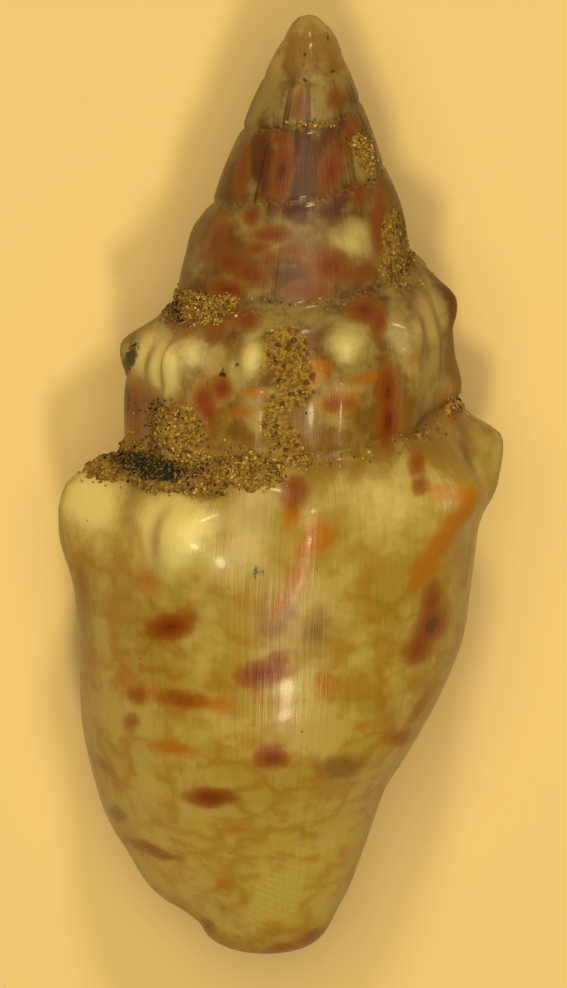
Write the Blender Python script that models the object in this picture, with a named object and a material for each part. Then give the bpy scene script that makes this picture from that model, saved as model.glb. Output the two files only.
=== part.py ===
"""Crown dove shell: one hollow spiral shell of a small sea snail, lying on its aperture.

The shell is modelled in millimetres about its own axis and then laid down at real size in metres.
In the shell's own frame the axis runs along Y with the apex at the origin, Z points to the back of
the shell (the side away from the aperture) and X to the columella side.
"""
import math

import bmesh
import bpy
from mathutils import Euler, Vector

MM = 0.001

# Growth. A turn number counts whorls: it is whole on the outer lip side of the back view and
# half-way on the columella side. The suture starts at the apex at turn -1.
TURN_START = -1.0
TURN_END = 5.125
LIP_SIDE_ANGLE = -90.0
GROWTH_RATE = 0.359
HEIGHT_SCALE = 0.878
# The last sutures lean a little: lower on the columella side.
SUTURE_LEAN = 0.12
SUTURE_LEAN_TURN = 0.06
SUTURE_LEAN_FROM = 3.6
SUTURE_LEAN_BY = 4.3

# Widest radius between the nodes at each turn (turn, radius).
WHORL_RADII = (
    (-1.0, 0.38), (0.0, 0.65), (1.0, 0.96), (2.0, 1.37), (3.0, 1.85), (4.0, 2.35), (4.5, 2.66),
    (5.0, 3.15), (5.2, 3.35),
)

# Length and front end of the shell, which bends a little towards the lip side.
FRONT_END = 14.0
TIP_RING_RADIUS = 0.2
FRONT_BEND = 0.3
FRONT_BEND_FROM = 11.2

# Outline of one whorl: share of the way from its upper suture to the next one, and radius as a
# share of the widest. Past 1 the outline is that of the base, which only the last whorl shows.
WHORL_OUTLINE = (
    (0.0, 0.733), (0.11, 0.86), (0.24, 0.93), (0.45, 0.985), (0.67, 1.0), (1.0, 0.977),
    (1.32, 0.937), (1.6, 0.852), (1.73, 0.775), (1.86, 0.655), (2.0, 0.52), (2.12, 0.36), (2.22, 0.26),
)
# The base tapers sooner towards the columella side.
EARLY_TAPER = 0.15
EARLY_TAPER_TURNS = (4.5, 5.0)
TOP_FIT_SHARE = 0.4
FLAT_WHORL_BULGE = 0.02
STEPPED_FROM_TURN = 2.8
STEPPED_BY_TURN = 3.4
APEX_DOME_POWER = 0.55
APEX_DOME_TURN = 0.5

# Neck of the front end on the outside, and the columella that the aperture shows (height, radius).
NECK_OUTLINE = (
    (8.0, 1.5), (10.4, 1.84), (10.9, 1.66), (11.35, 1.42), (11.8, 1.26), (12.7, 1.05), (13.15, 0.96),
    (13.6, 0.84), (13.85, 0.66), (14.0, 0.2),
)
COLUMELLA_OUTLINE = (
    (5.0, 0.25), (7.5, 0.6), (9.0, 1.02), (10.2, 1.14), (11.5, 1.04), (12.5, 0.84), (13.3, 0.68),
    (13.8, 0.45), (14.0, 0.2),
)
COLUMELLA_TURNS = 0.35
NECK_BLEND = 0.35
NECK_BLEND_ENDS = (12.8, 13.8)
NECK_JOIN_SHARE = 1.3
# The neck is fuller at the back of the shell.
BACK_FULLNESS = 0.4
BACK_FULLNESS_TURN = 4.77
BACK_FULLNESS_REACH = 0.16
BACK_FULLNESS_UNTIL = 12.0
# The base of the last whorl stops growing here, and the lip keeps its outline.
BASE_LAST_TURN = 5.0
BASE_LAST_HEIGHTS = (9.0, 12.0)

# Shoulder nodes: spacing and height on the last whorl and above it.
LAST_NODE_TURN = 5.101
BODY_NODE_SPACING = 0.123
BODY_NODE_COUNT = 9
SPIRE_NODE_TURN = 4.0
SPIRE_NODE_SPACING = 0.099
SPIRE_NODE_COUNT = 18
NODE_HEIGHT = 0.52
NODE_GROWTH = 0.3
NODES_FROM_TURN = 2.2
NODES_FULL_TURN = 4.0
NODE_CENTRE = 0.27
NODE_REACH_UP = 0.19
NODE_REACH_DOWN = 0.26
NODE_STEEP_SIDE = 0.19
NODE_SLOPED_SIDE = 0.27
RIB_STRENGTH = 0.5
RIB_CENTRE = 0.75
RIB_REACH = 0.6
RIBS_UNTIL_TURN = 4.1
RIBS_GONE_TURN = 4.45
# Nodes of the last whorl that stand out of the row, counted back from the lip: share of the full
# height and shift along the spiral.
ODD_NODES = {2: (1.0, -0.014), 3: (0.55, 0.004), 4: (1.1, -0.014), 5: (1.3, 0.0), 7: (0.4, 0.0)}

# Sediment baked on: direction in degrees (0 at the back, -90 at the lip side), height from the apex,
# reach around and along the shell, and thickness.
SEDIMENT_LUMPS = (
    (-84.0, 6.93, 13.0, 0.34, 0.36), (-55.0, 6.62, 18.0, 0.22, 0.16), (-24.0, 6.45, 20.0, 0.2, 0.12),
    (-46.0, 6.05, 9.0, 0.4, 0.12), (88.0, 5.55, 16.0, 0.34, 0.15), (86.0, 7.0, 14.0, 0.3, 0.13),
)

# Outer lip.
LIP_TURNS = 0.03
LIP_ROUNDING = 0.14
LIP_SWELL = 0.07
LIP_SWELL_TURNS = 0.05
LIP_RELIEF_SHARE = 0.5

# Cavity behind the aperture.
WALL = 0.32
LIP_THICKENING = 0.26
LIP_THICK_TURNS = 0.07
LIP_THICK_HEIGHTS = (7.2, 9.0)
LIP_THIN_HEIGHTS = (11.5, 13.5)
CALLUS = 0.07
LEAST_GAP = 0.12
CAVITY_TURNS = 1.0
CAVITY_OVERRUN = 0.035
CAVITY_LIP_TURNS = (0.004, -0.015)
CAVITY_FIRST_STEP_SHARE = 0.35
CAVITY_TOP = 0.16
CAVITY_BOTTOM = 0.86
DENTICLE_COUNT = 7
DENTICLE_HEIGHT = 0.13
DENTICLE_TURNS = 0.03
DENTICLE_SPAN = (8.1, 12.3)

# Siphonal canal: a gutter that opens at the front end.
CANAL_SECTIONS = (
    # height, place across the axis (x, z), direction that it opens in, half width
    (11.5, -1.05, -1.25, -160.0, 0.24), (12.4, -0.93, -1.08, -160.0, 0.26),
    (13.0, -0.75, -0.88, -162.0, 0.27), (13.5, -0.52, -0.6, -165.0, 0.27),
    (14.0, -0.26, -0.3, -170.0, 0.28), (14.5, -0.12, -0.08, -176.0, 0.31),
)
CANAL_DEPTH = 2.4

# How the shell lies: apex raised, rolled about its axis, worn flat where it rests.
REST_PITCH = 5.5
REST_ROLL = -1.1
REST_LIFT = 2.42
REST_SHIFT = 0.22
REST_CENTRE = 7.0
FLOOR_BOX = 12.0

# Mesh resolution.
COLUMNS_PER_TURN = 48
WHORL_ROWS = 8
BASE_ROWS = 20
CAVITY_COLUMNS_PER_TURN = 26
CAVITY_ROWS = 22
CAVITY_INNER_ROWS = 8
CANAL_SIDES = 8

SHARP_EDGE_ANGLE = 40.0
SHELL_COLOUR = (0.42, 0.26, 0.08, 1.0)
SHELL_ROUGHNESS = 0.42


def smoothstep(low, high, value):
    """Smooth ramp from 0 at low to 1 at high."""
    share = min(max((value - low) / (high - low), 0.0), 1.0)
    return share * share * (3.0 - 2.0 * share)


def through(points, position):
    """Read a smooth curve through (position, value) points, with the slopes of its neighbours."""
    if position <= points[0][0]:
        return points[0][1]
    if position >= points[-1][0]:
        return points[-1][1]
    last = len(points) - 1
    index = max(k for k in range(last) if points[k][0] <= position)
    (x0, y0), (x1, y1) = points[index], points[index + 1]
    before, after = points[max(index - 1, 0)], points[min(index + 2, last)]
    width = x1 - x0
    slope0 = (y1 - before[1]) / (x1 - before[0])
    slope1 = (after[1] - y0) / (after[0] - x0)
    u = (position - x0) / width
    bend0 = u * (1.0 - u) ** 2 * width * slope0
    bend1 = u * u * (u - 1.0) * width * slope1
    return y0 * (1.0 + 2.0 * u) * (1.0 - u) ** 2 + y1 * u * u * (3.0 - 2.0 * u) + bend0 + bend1


def smooth_max(first, second, blend):
    """The larger of two radii, with the corner between them rounded over the blend."""
    return 0.5 * (first + second + math.sqrt((first - second) ** 2 + blend * blend))


def suture_height(turn):
    """Distance of the suture from the apex along the axis."""
    lean = SUTURE_LEAN * math.cos(2.0 * math.pi * (turn - SUTURE_LEAN_TURN))
    lean *= smoothstep(SUTURE_LEAN_FROM, SUTURE_LEAN_BY, turn)
    return HEIGHT_SCALE * (math.exp(GROWTH_RATE * (turn - TURN_START)) - 1.0) - lean


def whorl_height(turn):
    """Distance along the axis from a suture to the next one below it."""
    return suture_height(turn + 1.0) - suture_height(turn)


def node_turns():
    """Turn, spacing and share of the full height of each shoulder node."""
    nodes = []
    for number in range(BODY_NODE_COUNT):
        share, shift = ODD_NODES.get(number, (1.0, 0.0))
        nodes.append((LAST_NODE_TURN - BODY_NODE_SPACING * number + shift, BODY_NODE_SPACING, share))
    for number in range(SPIRE_NODE_COUNT):
        nodes.append((SPIRE_NODE_TURN - SPIRE_NODE_SPACING * number, SPIRE_NODE_SPACING, 1.0))
    return nodes


NODES = node_turns()


def node_crown(turn):
    """How far up a node or its rib a turn lies, from 0 in the valleys to 1 on the crest."""
    crown = 0.0
    for centre, spacing, share in NODES:
        away = (turn - centre) / spacing
        if abs(away) < 1.0:
            side = NODE_STEEP_SIDE if away > 0.0 else NODE_SLOPED_SIDE
            crown += share * math.exp(-((away / side) ** 2))
    return crown


def node_relief(turn, share):
    """Height of the nodes and ribs at a share of the way down the whorl."""
    strength = NODE_HEIGHT * math.exp(NODE_GROWTH * (turn - 5.0))
    strength *= smoothstep(NODES_FROM_TURN, NODES_FULL_TURN, turn)
    if strength <= 0.0:
        return 0.0
    reach = NODE_REACH_UP if share < NODE_CENTRE else NODE_REACH_DOWN
    node = math.exp(-(((share - NODE_CENTRE) / reach) ** 2))
    rib = RIB_STRENGTH * math.exp(-(((share - RIB_CENTRE) / RIB_REACH) ** 4))
    rib *= 1.0 - smoothstep(RIBS_UNTIL_TURN, RIBS_GONE_TURN, turn)
    rib *= smoothstep(0.0, NODE_CENTRE, share)
    return strength * node_crown(turn) * max(node, rib)


def suture_radius(turn):
    """Radius at the top of a whorl: the foot of the whorl above it, or the dome of the apex."""
    if turn < TURN_START + 1.0:
        return foot_radius(TURN_START) * math.sqrt(1.0 - turn * turn)
    return foot_radius(turn - 1.0) + node_relief(turn - 1.0, 1.0)


def foot_radius(turn):
    """Radius between the nodes where the next whorl covers a whorl."""
    return through(WHORL_RADII, turn) * through(WHORL_OUTLINE, 1.0)


def whorl_radius(turn, share):
    """Radius of the whorl between its nodes."""
    widest = through(WHORL_RADII, turn)
    if share >= 1.0:
        taper = 1.0 + EARLY_TAPER * (1.0 - smoothstep(*EARLY_TAPER_TURNS, turn))
        return widest * through(WHORL_OUTLINE, 1.0 + (share - 1.0) * taper)
    stepped = widest * through(WHORL_OUTLINE, share)
    top = suture_radius(turn)
    stepped += (top - widest * WHORL_OUTLINE[0][1]) * max(1.0 - share / TOP_FIT_SHARE, 0.0) ** 2
    dome = smoothstep(TURN_START, APEX_DOME_TURN, turn)
    sweep = share ** (APEX_DOME_POWER + (1.0 - APEX_DOME_POWER) * dome)
    flat = top + (foot_radius(turn) - top) * sweep
    flat += widest * FLAT_WHORL_BULGE * math.sin(math.pi * share)
    return flat + (stepped - flat) * smoothstep(STEPPED_FROM_TURN, STEPPED_BY_TURN, turn)


def sediment_relief(turn, height):
    """Thickness of the sediment that is baked on the shell."""
    direction = LIP_SIDE_ANGLE - 360.0 * (turn - 5.0)
    thickness = 0.0
    for lump_direction, lump_height, reach_around, reach_along, lump_thickness in SEDIMENT_LUMPS:
        around = (direction - lump_direction + 180.0) % 360.0 - 180.0
        away = (around / reach_around) ** 2 + ((height - lump_height) / reach_along) ** 2
        thickness = max(thickness, lump_thickness * math.exp(-away * away))
    return thickness


def pillar_radius(turn, height):
    """Radius of the columella where the aperture shows it, and of the neck further round."""
    columella = through(COLUMELLA_OUTLINE, height)
    fullness = BACK_FULLNESS * math.exp(-(((turn - BACK_FULLNESS_TURN) / BACK_FULLNESS_REACH) ** 2))
    fullness *= 1.0 - smoothstep(BACK_FULLNESS_UNTIL, FRONT_END, height)
    neck = through(NECK_OUTLINE, height) * (1.0 + fullness)
    return columella + (neck - columella) * smoothstep(0.0, COLUMELLA_TURNS, turn - TURN_END + 1.0)


def lip_relief(turn):
    """Swelling behind the outer lip and the rounding of its edge."""
    swell = LIP_SWELL * math.exp(-(((turn - TURN_END + LIP_SWELL_TURNS) / LIP_SWELL_TURNS) ** 2))
    edge = max(turn - TURN_END + LIP_TURNS, 0.0) / LIP_TURNS
    return swell - LIP_ROUNDING * min(edge, 1.0) ** 3


def whorl_surface(turn, height):
    """Radius of a whorl with its nodes at a height."""
    share = (height - suture_height(turn)) / whorl_height(turn)
    return whorl_radius(turn, share) + node_relief(turn, share) * smoothstep(0.0, NODE_CENTRE, share)


def surface_radius(turn, height):
    """Radius of the outer surface at a height, for the whorl that a turn lies on."""
    share = (height - suture_height(turn)) / whorl_height(turn)
    radius = whorl_surface(turn, height)
    if turn > BASE_LAST_TURN:
        last = whorl_surface(BASE_LAST_TURN, height)
        radius += (min(radius, last) - radius) * smoothstep(*BASE_LAST_HEIGHTS, height)
    radius += lip_relief(turn) * smoothstep(0.0, LIP_RELIEF_SHARE, share)
    if share > 1.0 and turn > STEPPED_FROM_TURN:
        blend = NECK_BLEND * (1.0 - smoothstep(*NECK_BLEND_ENDS, height))
        joined = smooth_max(radius, pillar_radius(turn, height), blend)
        radius += (joined - radius) * smoothstep(1.0, NECK_JOIN_SHARE, share)
    return radius


def front_bend(height):
    """How far the axis has bent towards the lip side at a height."""
    return FRONT_BEND * (max(height - FRONT_BEND_FROM, 0.0) / (FRONT_END - FRONT_BEND_FROM)) ** 2


def place(turn, height, radius):
    """Point of the shell's own frame for a turn, a height and a radius."""
    angle = math.radians(LIP_SIDE_ANGLE - 360.0 * (turn - 5.0))
    return Vector((radius * math.sin(angle) - front_bend(height), -height, radius * math.cos(angle)))


def lay_down(point):
    """Move a point from the shell's own frame, in millimetres, to where the shell lies, in metres."""
    turned = Euler((math.radians(REST_PITCH), math.radians(REST_ROLL), 0.0), "XYZ").to_matrix()
    return (turned @ (point + Vector((0.0, REST_CENTRE, 0.0))) + Vector((REST_SHIFT, 0.0, REST_LIFT))) * MM


def row_height(turn, row):
    """Height of a row of the outer surface: suture to suture, then down the base."""
    if row <= WHORL_ROWS:
        return suture_height(turn) + whorl_height(turn) * row / WHORL_ROWS
    low = suture_height(turn + 1.0)
    return low + (FRONT_END - low) * (row - WHORL_ROWS) / BASE_ROWS


class ShellGrid:
    """Vertices of the outer surface on a grid of columns along the spiral and rows down the whorl."""

    def __init__(self, bm):
        self.bm = bm
        self.columns = round((TURN_END - TURN_START) * COLUMNS_PER_TURN)
        self.body_start = self.columns - COLUMNS_PER_TURN
        self.rows = WHORL_ROWS + BASE_ROWS
        self.vertices = {}

    def key(self, column, row):
        """Grid place of a vertex, with a suture counted to the whorl below it."""
        if row == WHORL_ROWS and column + COLUMNS_PER_TURN <= self.columns:
            return column + COLUMNS_PER_TURN, 0
        if row == self.rows and column == self.columns:
            return self.body_start, row
        return column, row

    def point(self, column, row):
        """Place of a vertex in the shell's own frame."""
        turn = TURN_START + column / COLUMNS_PER_TURN
        height = row_height(turn, row)
        if row == self.rows:
            return place(turn, height, TIP_RING_RADIUS)
        radius = suture_radius(turn) if row == 0 else surface_radius(turn, height)
        return place(turn, height, radius + sediment_relief(turn, height))

    def vertex(self, column, row):
        """Vertex of a grid place, made at its first use."""
        key = self.key(column, row)
        if key not in self.vertices:
            self.vertices[key] = self.bm.verts.new(lay_down(self.point(*key)))
        return self.vertices[key]

    def face(self, *places):
        """Face through grid places, without the ones that fall together."""
        corners = []
        for column, row in places:
            vertex = self.vertex(column, row)
            if vertex not in corners:
                corners.append(vertex)
        if len(corners) > 2:
            self.bm.faces.new(corners)

    def build(self):
        """Make the strip of whorls, the base, and the faces that close the ends."""
        for column in range(self.columns):
            last = self.rows if column >= self.body_start else WHORL_ROWS
            for row in range(last):
                self.face((column, row), (column + 1, row), (column + 1, row + 1), (column, row + 1))
        self.close_apex()
        self.close_lip()
        self.close_tip()

    def close_lip(self):
        """Fill the plane of the aperture, from the lip's edge to the whorl and columella inside it."""
        outer, inner = 0, WHORL_ROWS
        while outer < self.rows or inner < self.rows:
            outer_height = row_height(TURN_END, outer + 1) if outer < self.rows else math.inf
            inner_height = row_height(TURN_END - 1.0, inner + 1) if inner < self.rows else math.inf
            if outer_height <= inner_height:
                self.face((self.columns, outer), (self.columns, outer + 1), (self.body_start, inner))
                outer += 1
            else:
                self.face((self.columns, outer), (self.body_start, inner + 1), (self.body_start, inner))
                inner += 1

    def close_tip(self):
        """Close the front end around a middle vertex."""
        middle = self.bm.verts.new(lay_down(place(TURN_END, FRONT_END, 0.0)))
        for column in range(self.body_start, self.columns):
            self.bm.faces.new((self.vertex(column, self.rows), self.vertex(column + 1, self.rows), middle))

    def close_apex(self):
        """Fill the first turn of the suture with a small spiral dome."""
        for column in range(1, COLUMNS_PER_TURN - 1):
            self.face((0, 0), (column + 1, 0), (column, 0))
        for row in range(WHORL_ROWS):
            self.face((COLUMNS_PER_TURN - 1, 0), (0, row), (0, row + 1))


def new_object(name, bm):
    """Object at the world origin with the mesh of a bmesh, its faces turned outwards."""
    bmesh.ops.recalc_face_normals(bm, faces=bm.faces)
    mesh = bpy.data.meshes.new(name)
    bm.to_mesh(mesh)
    bm.free()
    obj = bpy.data.objects.new(name, mesh)
    bpy.context.collection.objects.link(obj)
    return obj


def loft(bm, loops):
    """Closed solid through loops with the same number of points each."""
    rings = [[bm.verts.new(lay_down(point)) for point in loop] for loop in loops]
    for ring, following in zip(rings, rings[1:]):
        for index in range(len(ring)):
            after = (index + 1) % len(ring)
            bm.faces.new((ring[index], ring[after], following[after], following[index]))
    bm.faces.new(rings[0])
    bm.faces.new(rings[-1])
    bmesh.ops.triangulate(bm, faces=bm.faces)


def denticle(turn, height):
    """Height of the teeth on the inside of the outer lip."""
    low, high = DENTICLE_SPAN
    if not low < height < high:
        return 0.0
    wave = math.sin(math.pi * DENTICLE_COUNT * (height - low) / (high - low)) ** 2
    return DENTICLE_HEIGHT * wave * math.exp(-(((turn - TURN_END + DENTICLE_TURNS) / DENTICLE_TURNS) ** 2))


def cavity_outer_radius(turn, height, inner):
    """Inside of the outer wall, thicker near the lip."""
    near_lip = math.exp(-(((TURN_END - turn) / LIP_THICK_TURNS) ** 2))
    middle = smoothstep(*LIP_THICK_HEIGHTS, height) * (1.0 - smoothstep(*LIP_THIN_HEIGHTS, height))
    wall = WALL + LIP_THICKENING * near_lip * middle
    outside = surface_radius(min(turn, TURN_END - LIP_TURNS), height)
    return max(outside - wall - denticle(turn, height), inner + LEAST_GAP)


def cavity_loop(turn):
    """Outline of the cavity in the plane through the axis at a turn."""
    drop = suture_height(turn + 1.0) - suture_height(turn)
    top = suture_height(turn) + CAVITY_TOP * drop
    bottom = suture_height(turn) + CAVITY_BOTTOM * WHORL_OUTLINE[-1][0] * drop
    loop = []
    for row in range(CAVITY_ROWS + 1):
        height = top + (bottom - top) * row / CAVITY_ROWS
        inner = surface_radius(turn - 1.0, height) + CALLUS
        loop.append(place(turn, height, cavity_outer_radius(turn, height, inner)))
    for row in range(CAVITY_INNER_ROWS + 1):
        height = bottom + (top - bottom) * row / CAVITY_INNER_ROWS
        loop.append(place(turn, height, surface_radius(turn - 1.0, height) + CALLUS))
    return loop


def cavity_tool():
    """Tapering spiral solid of the space inside the last whorl."""
    bm = bmesh.new()
    turns = [TURN_END + CAVITY_OVERRUN]
    turns += [TURN_END + offset for offset in CAVITY_LIP_TURNS]
    steps = round(CAVITY_TURNS * CAVITY_COLUMNS_PER_TURN)
    for step in range(1, steps):
        share = step / (steps - 1)
        eased = share * (CAVITY_FIRST_STEP_SHARE + (1.0 - CAVITY_FIRST_STEP_SHARE) * share)
        turns.append(turns[2] - CAVITY_TURNS * eased)
    loft(bm, [cavity_loop(turn) for turn in turns])
    return new_object("cavity_tool", bm)


def canal_loop(height, x, z, direction, half_width):
    """Slot outline across the axis: a round floor, open towards its direction."""
    angle = math.radians(direction)
    along = Vector((math.sin(angle), 0.0, math.cos(angle)))
    across = Vector((along.z, 0.0, -along.x))
    base = Vector((x - front_bend(height), -height, z))
    loop = [base + along * CANAL_DEPTH + across * half_width]
    for side in range(CANAL_SIDES + 1):
        turn = math.pi * side / CANAL_SIDES
        loop.append(base + across * half_width * math.cos(turn) - along * half_width * math.sin(turn))
    loop.append(base + along * CANAL_DEPTH - across * half_width)
    return loop


def canal_tool():
    """Solid of the siphonal canal's gutter."""
    bm = bmesh.new()
    loft(bm, [canal_loop(*section) for section in CANAL_SECTIONS])
    return new_object("canal_tool", bm)


def floor_tool():
    """Box under the resting plane, which wears the shell flat where it touches."""
    bm = bmesh.new()
    bmesh.ops.create_cube(bm, size=2.0 * FLOOR_BOX * MM)
    bmesh.ops.translate(bm, verts=bm.verts, vec=(0.0, 0.0, -FLOOR_BOX * MM))
    return new_object("floor_tool", bm)


def shell_material():
    """Warm cream and brown shell."""
    material = bpy.data.materials.new("shell")
    material.use_nodes = True
    shader = material.node_tree.nodes["Principled BSDF"]
    shader.inputs["Base Color"].default_value = SHELL_COLOUR
    shader.inputs["Roughness"].default_value = SHELL_ROUGHNESS
    shader.inputs["Metallic"].default_value = 0.0
    return material


def cut(obj, tool):
    """Take the space of a hidden tool out of an object."""
    tool.hide_render = True
    tool.display_type = "WIRE"
    modifier = obj.modifiers.new(tool.name, "BOOLEAN")
    modifier.operation = "DIFFERENCE"
    modifier.solver = "EXACT"
    modifier.object = tool


def main():
    """Build the shell."""
    for obj in list(bpy.data.objects):
        bpy.data.objects.remove(obj, do_unlink=True)
    bm = bmesh.new()
    ShellGrid(bm).build()
    shell = new_object("shell", bm)
    shell.data.materials.append(shell_material())
    shell.data.shade_smooth()
    shell.data.set_sharp_from_angle(angle=math.radians(SHARP_EDGE_ANGLE))
    for tool in (cavity_tool(), canal_tool(), floor_tool()):
        cut(shell, tool)


main()
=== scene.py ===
"""A worn crown dove shell that lies on its aperture, dressed for its portrait.

The shell is worked out in its own frame, in millimetres: the apex is at the origin, the axis runs
along Y, Z points to the back of the shell and X to the columella side. A turn counts whorls along the
spiral, and a share runs from 0 at the upper suture of a whorl to 1 at the next one. The last step of
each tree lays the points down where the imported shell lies, in metres.
"""

import logging
import math
from dataclasses import dataclass
from enum import Enum

import bpy
from mathutils import Matrix, Vector


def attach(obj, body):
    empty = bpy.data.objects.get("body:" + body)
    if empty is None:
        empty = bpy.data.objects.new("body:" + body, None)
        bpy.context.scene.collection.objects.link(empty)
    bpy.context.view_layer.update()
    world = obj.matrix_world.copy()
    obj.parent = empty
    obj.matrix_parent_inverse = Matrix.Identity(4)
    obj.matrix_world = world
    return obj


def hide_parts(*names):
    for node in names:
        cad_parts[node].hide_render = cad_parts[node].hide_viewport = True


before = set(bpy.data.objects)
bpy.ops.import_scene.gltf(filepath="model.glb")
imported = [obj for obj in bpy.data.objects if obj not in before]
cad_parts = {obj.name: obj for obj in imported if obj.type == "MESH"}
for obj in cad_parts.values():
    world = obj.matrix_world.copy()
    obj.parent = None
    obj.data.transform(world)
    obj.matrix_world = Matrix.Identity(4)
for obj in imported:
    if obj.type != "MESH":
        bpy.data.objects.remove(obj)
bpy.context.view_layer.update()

LOG = logging.getLogger("crown_dove_shell")
MM = 0.001
PER_MM = (1.0 / MM,) * 3
FAR = 99.0
FULL_TURN = 2.0 * math.pi
SRGB_KNEE = 0.04045

Points = tuple[tuple[float, float], ...]
Socket = bpy.types.NodeSocket


def linear(red: float, green: float, blue: float) -> tuple[float, float, float, float]:
    """Turn a colour of 0 to 255 as the eye reads it into light values.

    Args:
        red: Red, 0 to 255.
        green: Green, 0 to 255.
        blue: Blue, 0 to 255.

    Returns:
        Red, green and blue as light, and an alpha of 1.
    """
    found = []
    for value in (red, green, blue):
        share = value / 255.0
        found.append(share / 12.92 if share < SRGB_KNEE else ((share + 0.055) / 1.055) ** 2.4)
    return found[0], found[1], found[2], 1.0


def records(kind: type, *rows: tuple[float, ...]) -> tuple:
    """Make a record of each row of numbers.

    Args:
        kind: Kind of record.
        rows: Values of its fields, in order.

    Returns:
        The records.
    """
    return tuple(kind(*row) for row in rows)


class Kept(Enum):
    """Values that the pieces keep on their vertices, by the name of each attribute."""

    BROWN, ORANGE, PURPLE, WHITE = "brown", "orange", "purple", "white"
    CRUST, POROUS, SOOT = "crust", "porous", "soot"
    SEAM, INSIDE = "seam", "inside"
    FADE, COVER, SOLID, THICK, PIT, TONE = "fade", "cover", "solid", "thick", "pit", "tone"


def through(points: Points, position: float) -> float:
    """Read a smooth curve through points, with the slopes of its neighbours.

    Args:
        points: Position and value of each point, in order.
        position: Where to read the curve.

    Returns:
        The value there.
    """
    last = len(points) - 1
    index = max([k for k in range(last) if points[k][0] <= position], default=0)
    (x0, y0), (x1, y1) = points[index], points[index + 1]
    before, after = points[max(index - 1, 0)], points[min(index + 2, last)]
    width = x1 - x0
    slope0 = (y1 - before[1]) / (x1 - before[0])
    slope1 = (after[1] - y0) / (after[0] - x0)
    u = (position - x0) / width
    bends = width * (u * (1.0 - u) ** 2 * slope0 + u * u * (u - 1.0) * slope1)
    return y0 * (1.0 + 2.0 * u) * (1.0 - u) ** 2 + y1 * u * u * (3.0 - 2.0 * u) + bends


class Field:
    """A socket's output that takes part in expressions as a number."""

    def __init__(self, graph: "Graph", socket: Socket) -> None:
        """Wrap a socket of a graph.

        Args:
            graph: Graph that the socket's node is in.
            socket: Output socket.
        """
        self.graph = graph
        self.socket = socket

    def __add__(self, other: "Field | float") -> "Field":
        """Sum."""
        return self.graph.math("ADD", self, other)

    __radd__ = __add__

    def __sub__(self, other: "Field | float") -> "Field":
        """Difference."""
        return self.graph.math("SUBTRACT", self, other)

    def __rsub__(self, other: float) -> "Field":
        """Difference from a number."""
        return self.graph.math("SUBTRACT", other, self)

    def __mul__(self, other: "Field | float") -> "Field":
        """Product."""
        return self.graph.math("MULTIPLY", self, other)

    __rmul__ = __mul__

    def __truediv__(self, other: "Field | float") -> "Field":
        """Quotient."""
        return self.graph.math("DIVIDE", self, other)

    def __rtruediv__(self, other: float) -> "Field":
        """A number over this."""
        return self.graph.math("DIVIDE", other, self)

    def __pow__(self, other: "Field | float") -> "Field":
        """Power."""
        return self.graph.math("POWER", self, other)

    def __neg__(self) -> "Field":
        """Negative."""
        return self.graph.math("MULTIPLY", self, -1.0)

    def apply(self, operation: str) -> "Field":
        """Pass through a one-sided Math node, such as SINE or FLOOR."""
        return self.graph.math(operation, self)

    def between(self, low: float, high: float) -> "Field":
        """Hold within two numbers."""
        return self.graph.math("MINIMUM", self.graph.math("MAXIMUM", self, low), high)

    def smooth(self, low: "Field | float", high: "Field | float") -> "Field":
        """Ramp smoothly from 0 at low to 1 at high."""
        settings = {"interpolation_type": "SMOOTHSTEP"}
        inputs = {"Value": self, "From Min": low, "From Max": high}
        return self.graph.field("ShaderNodeMapRange", settings, inputs)

    def over(self, rise: tuple[float, float], fall: tuple[float, float]) -> "Field":
        """Ramp smoothly up to 1, and further on back down to 0."""
        return self.smooth(*rise) * (1.0 - self.smooth(*fall))

    def bump(self) -> "Field":
        """Bell curve that is 1 at 0 and falls to 1/e at 1 on either side."""
        return (-(self * self)).apply("EXPONENT")


def pick(sockets: bpy.types.bpy_prop_collection, key: str | int) -> Socket:
    """Find a socket by its number, or among the ones in use by its name or identifier."""
    if isinstance(key, int):
        return sockets[key]
    return next(socket for socket in sockets if socket.enabled and key in (socket.name, socket.identifier))


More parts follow.
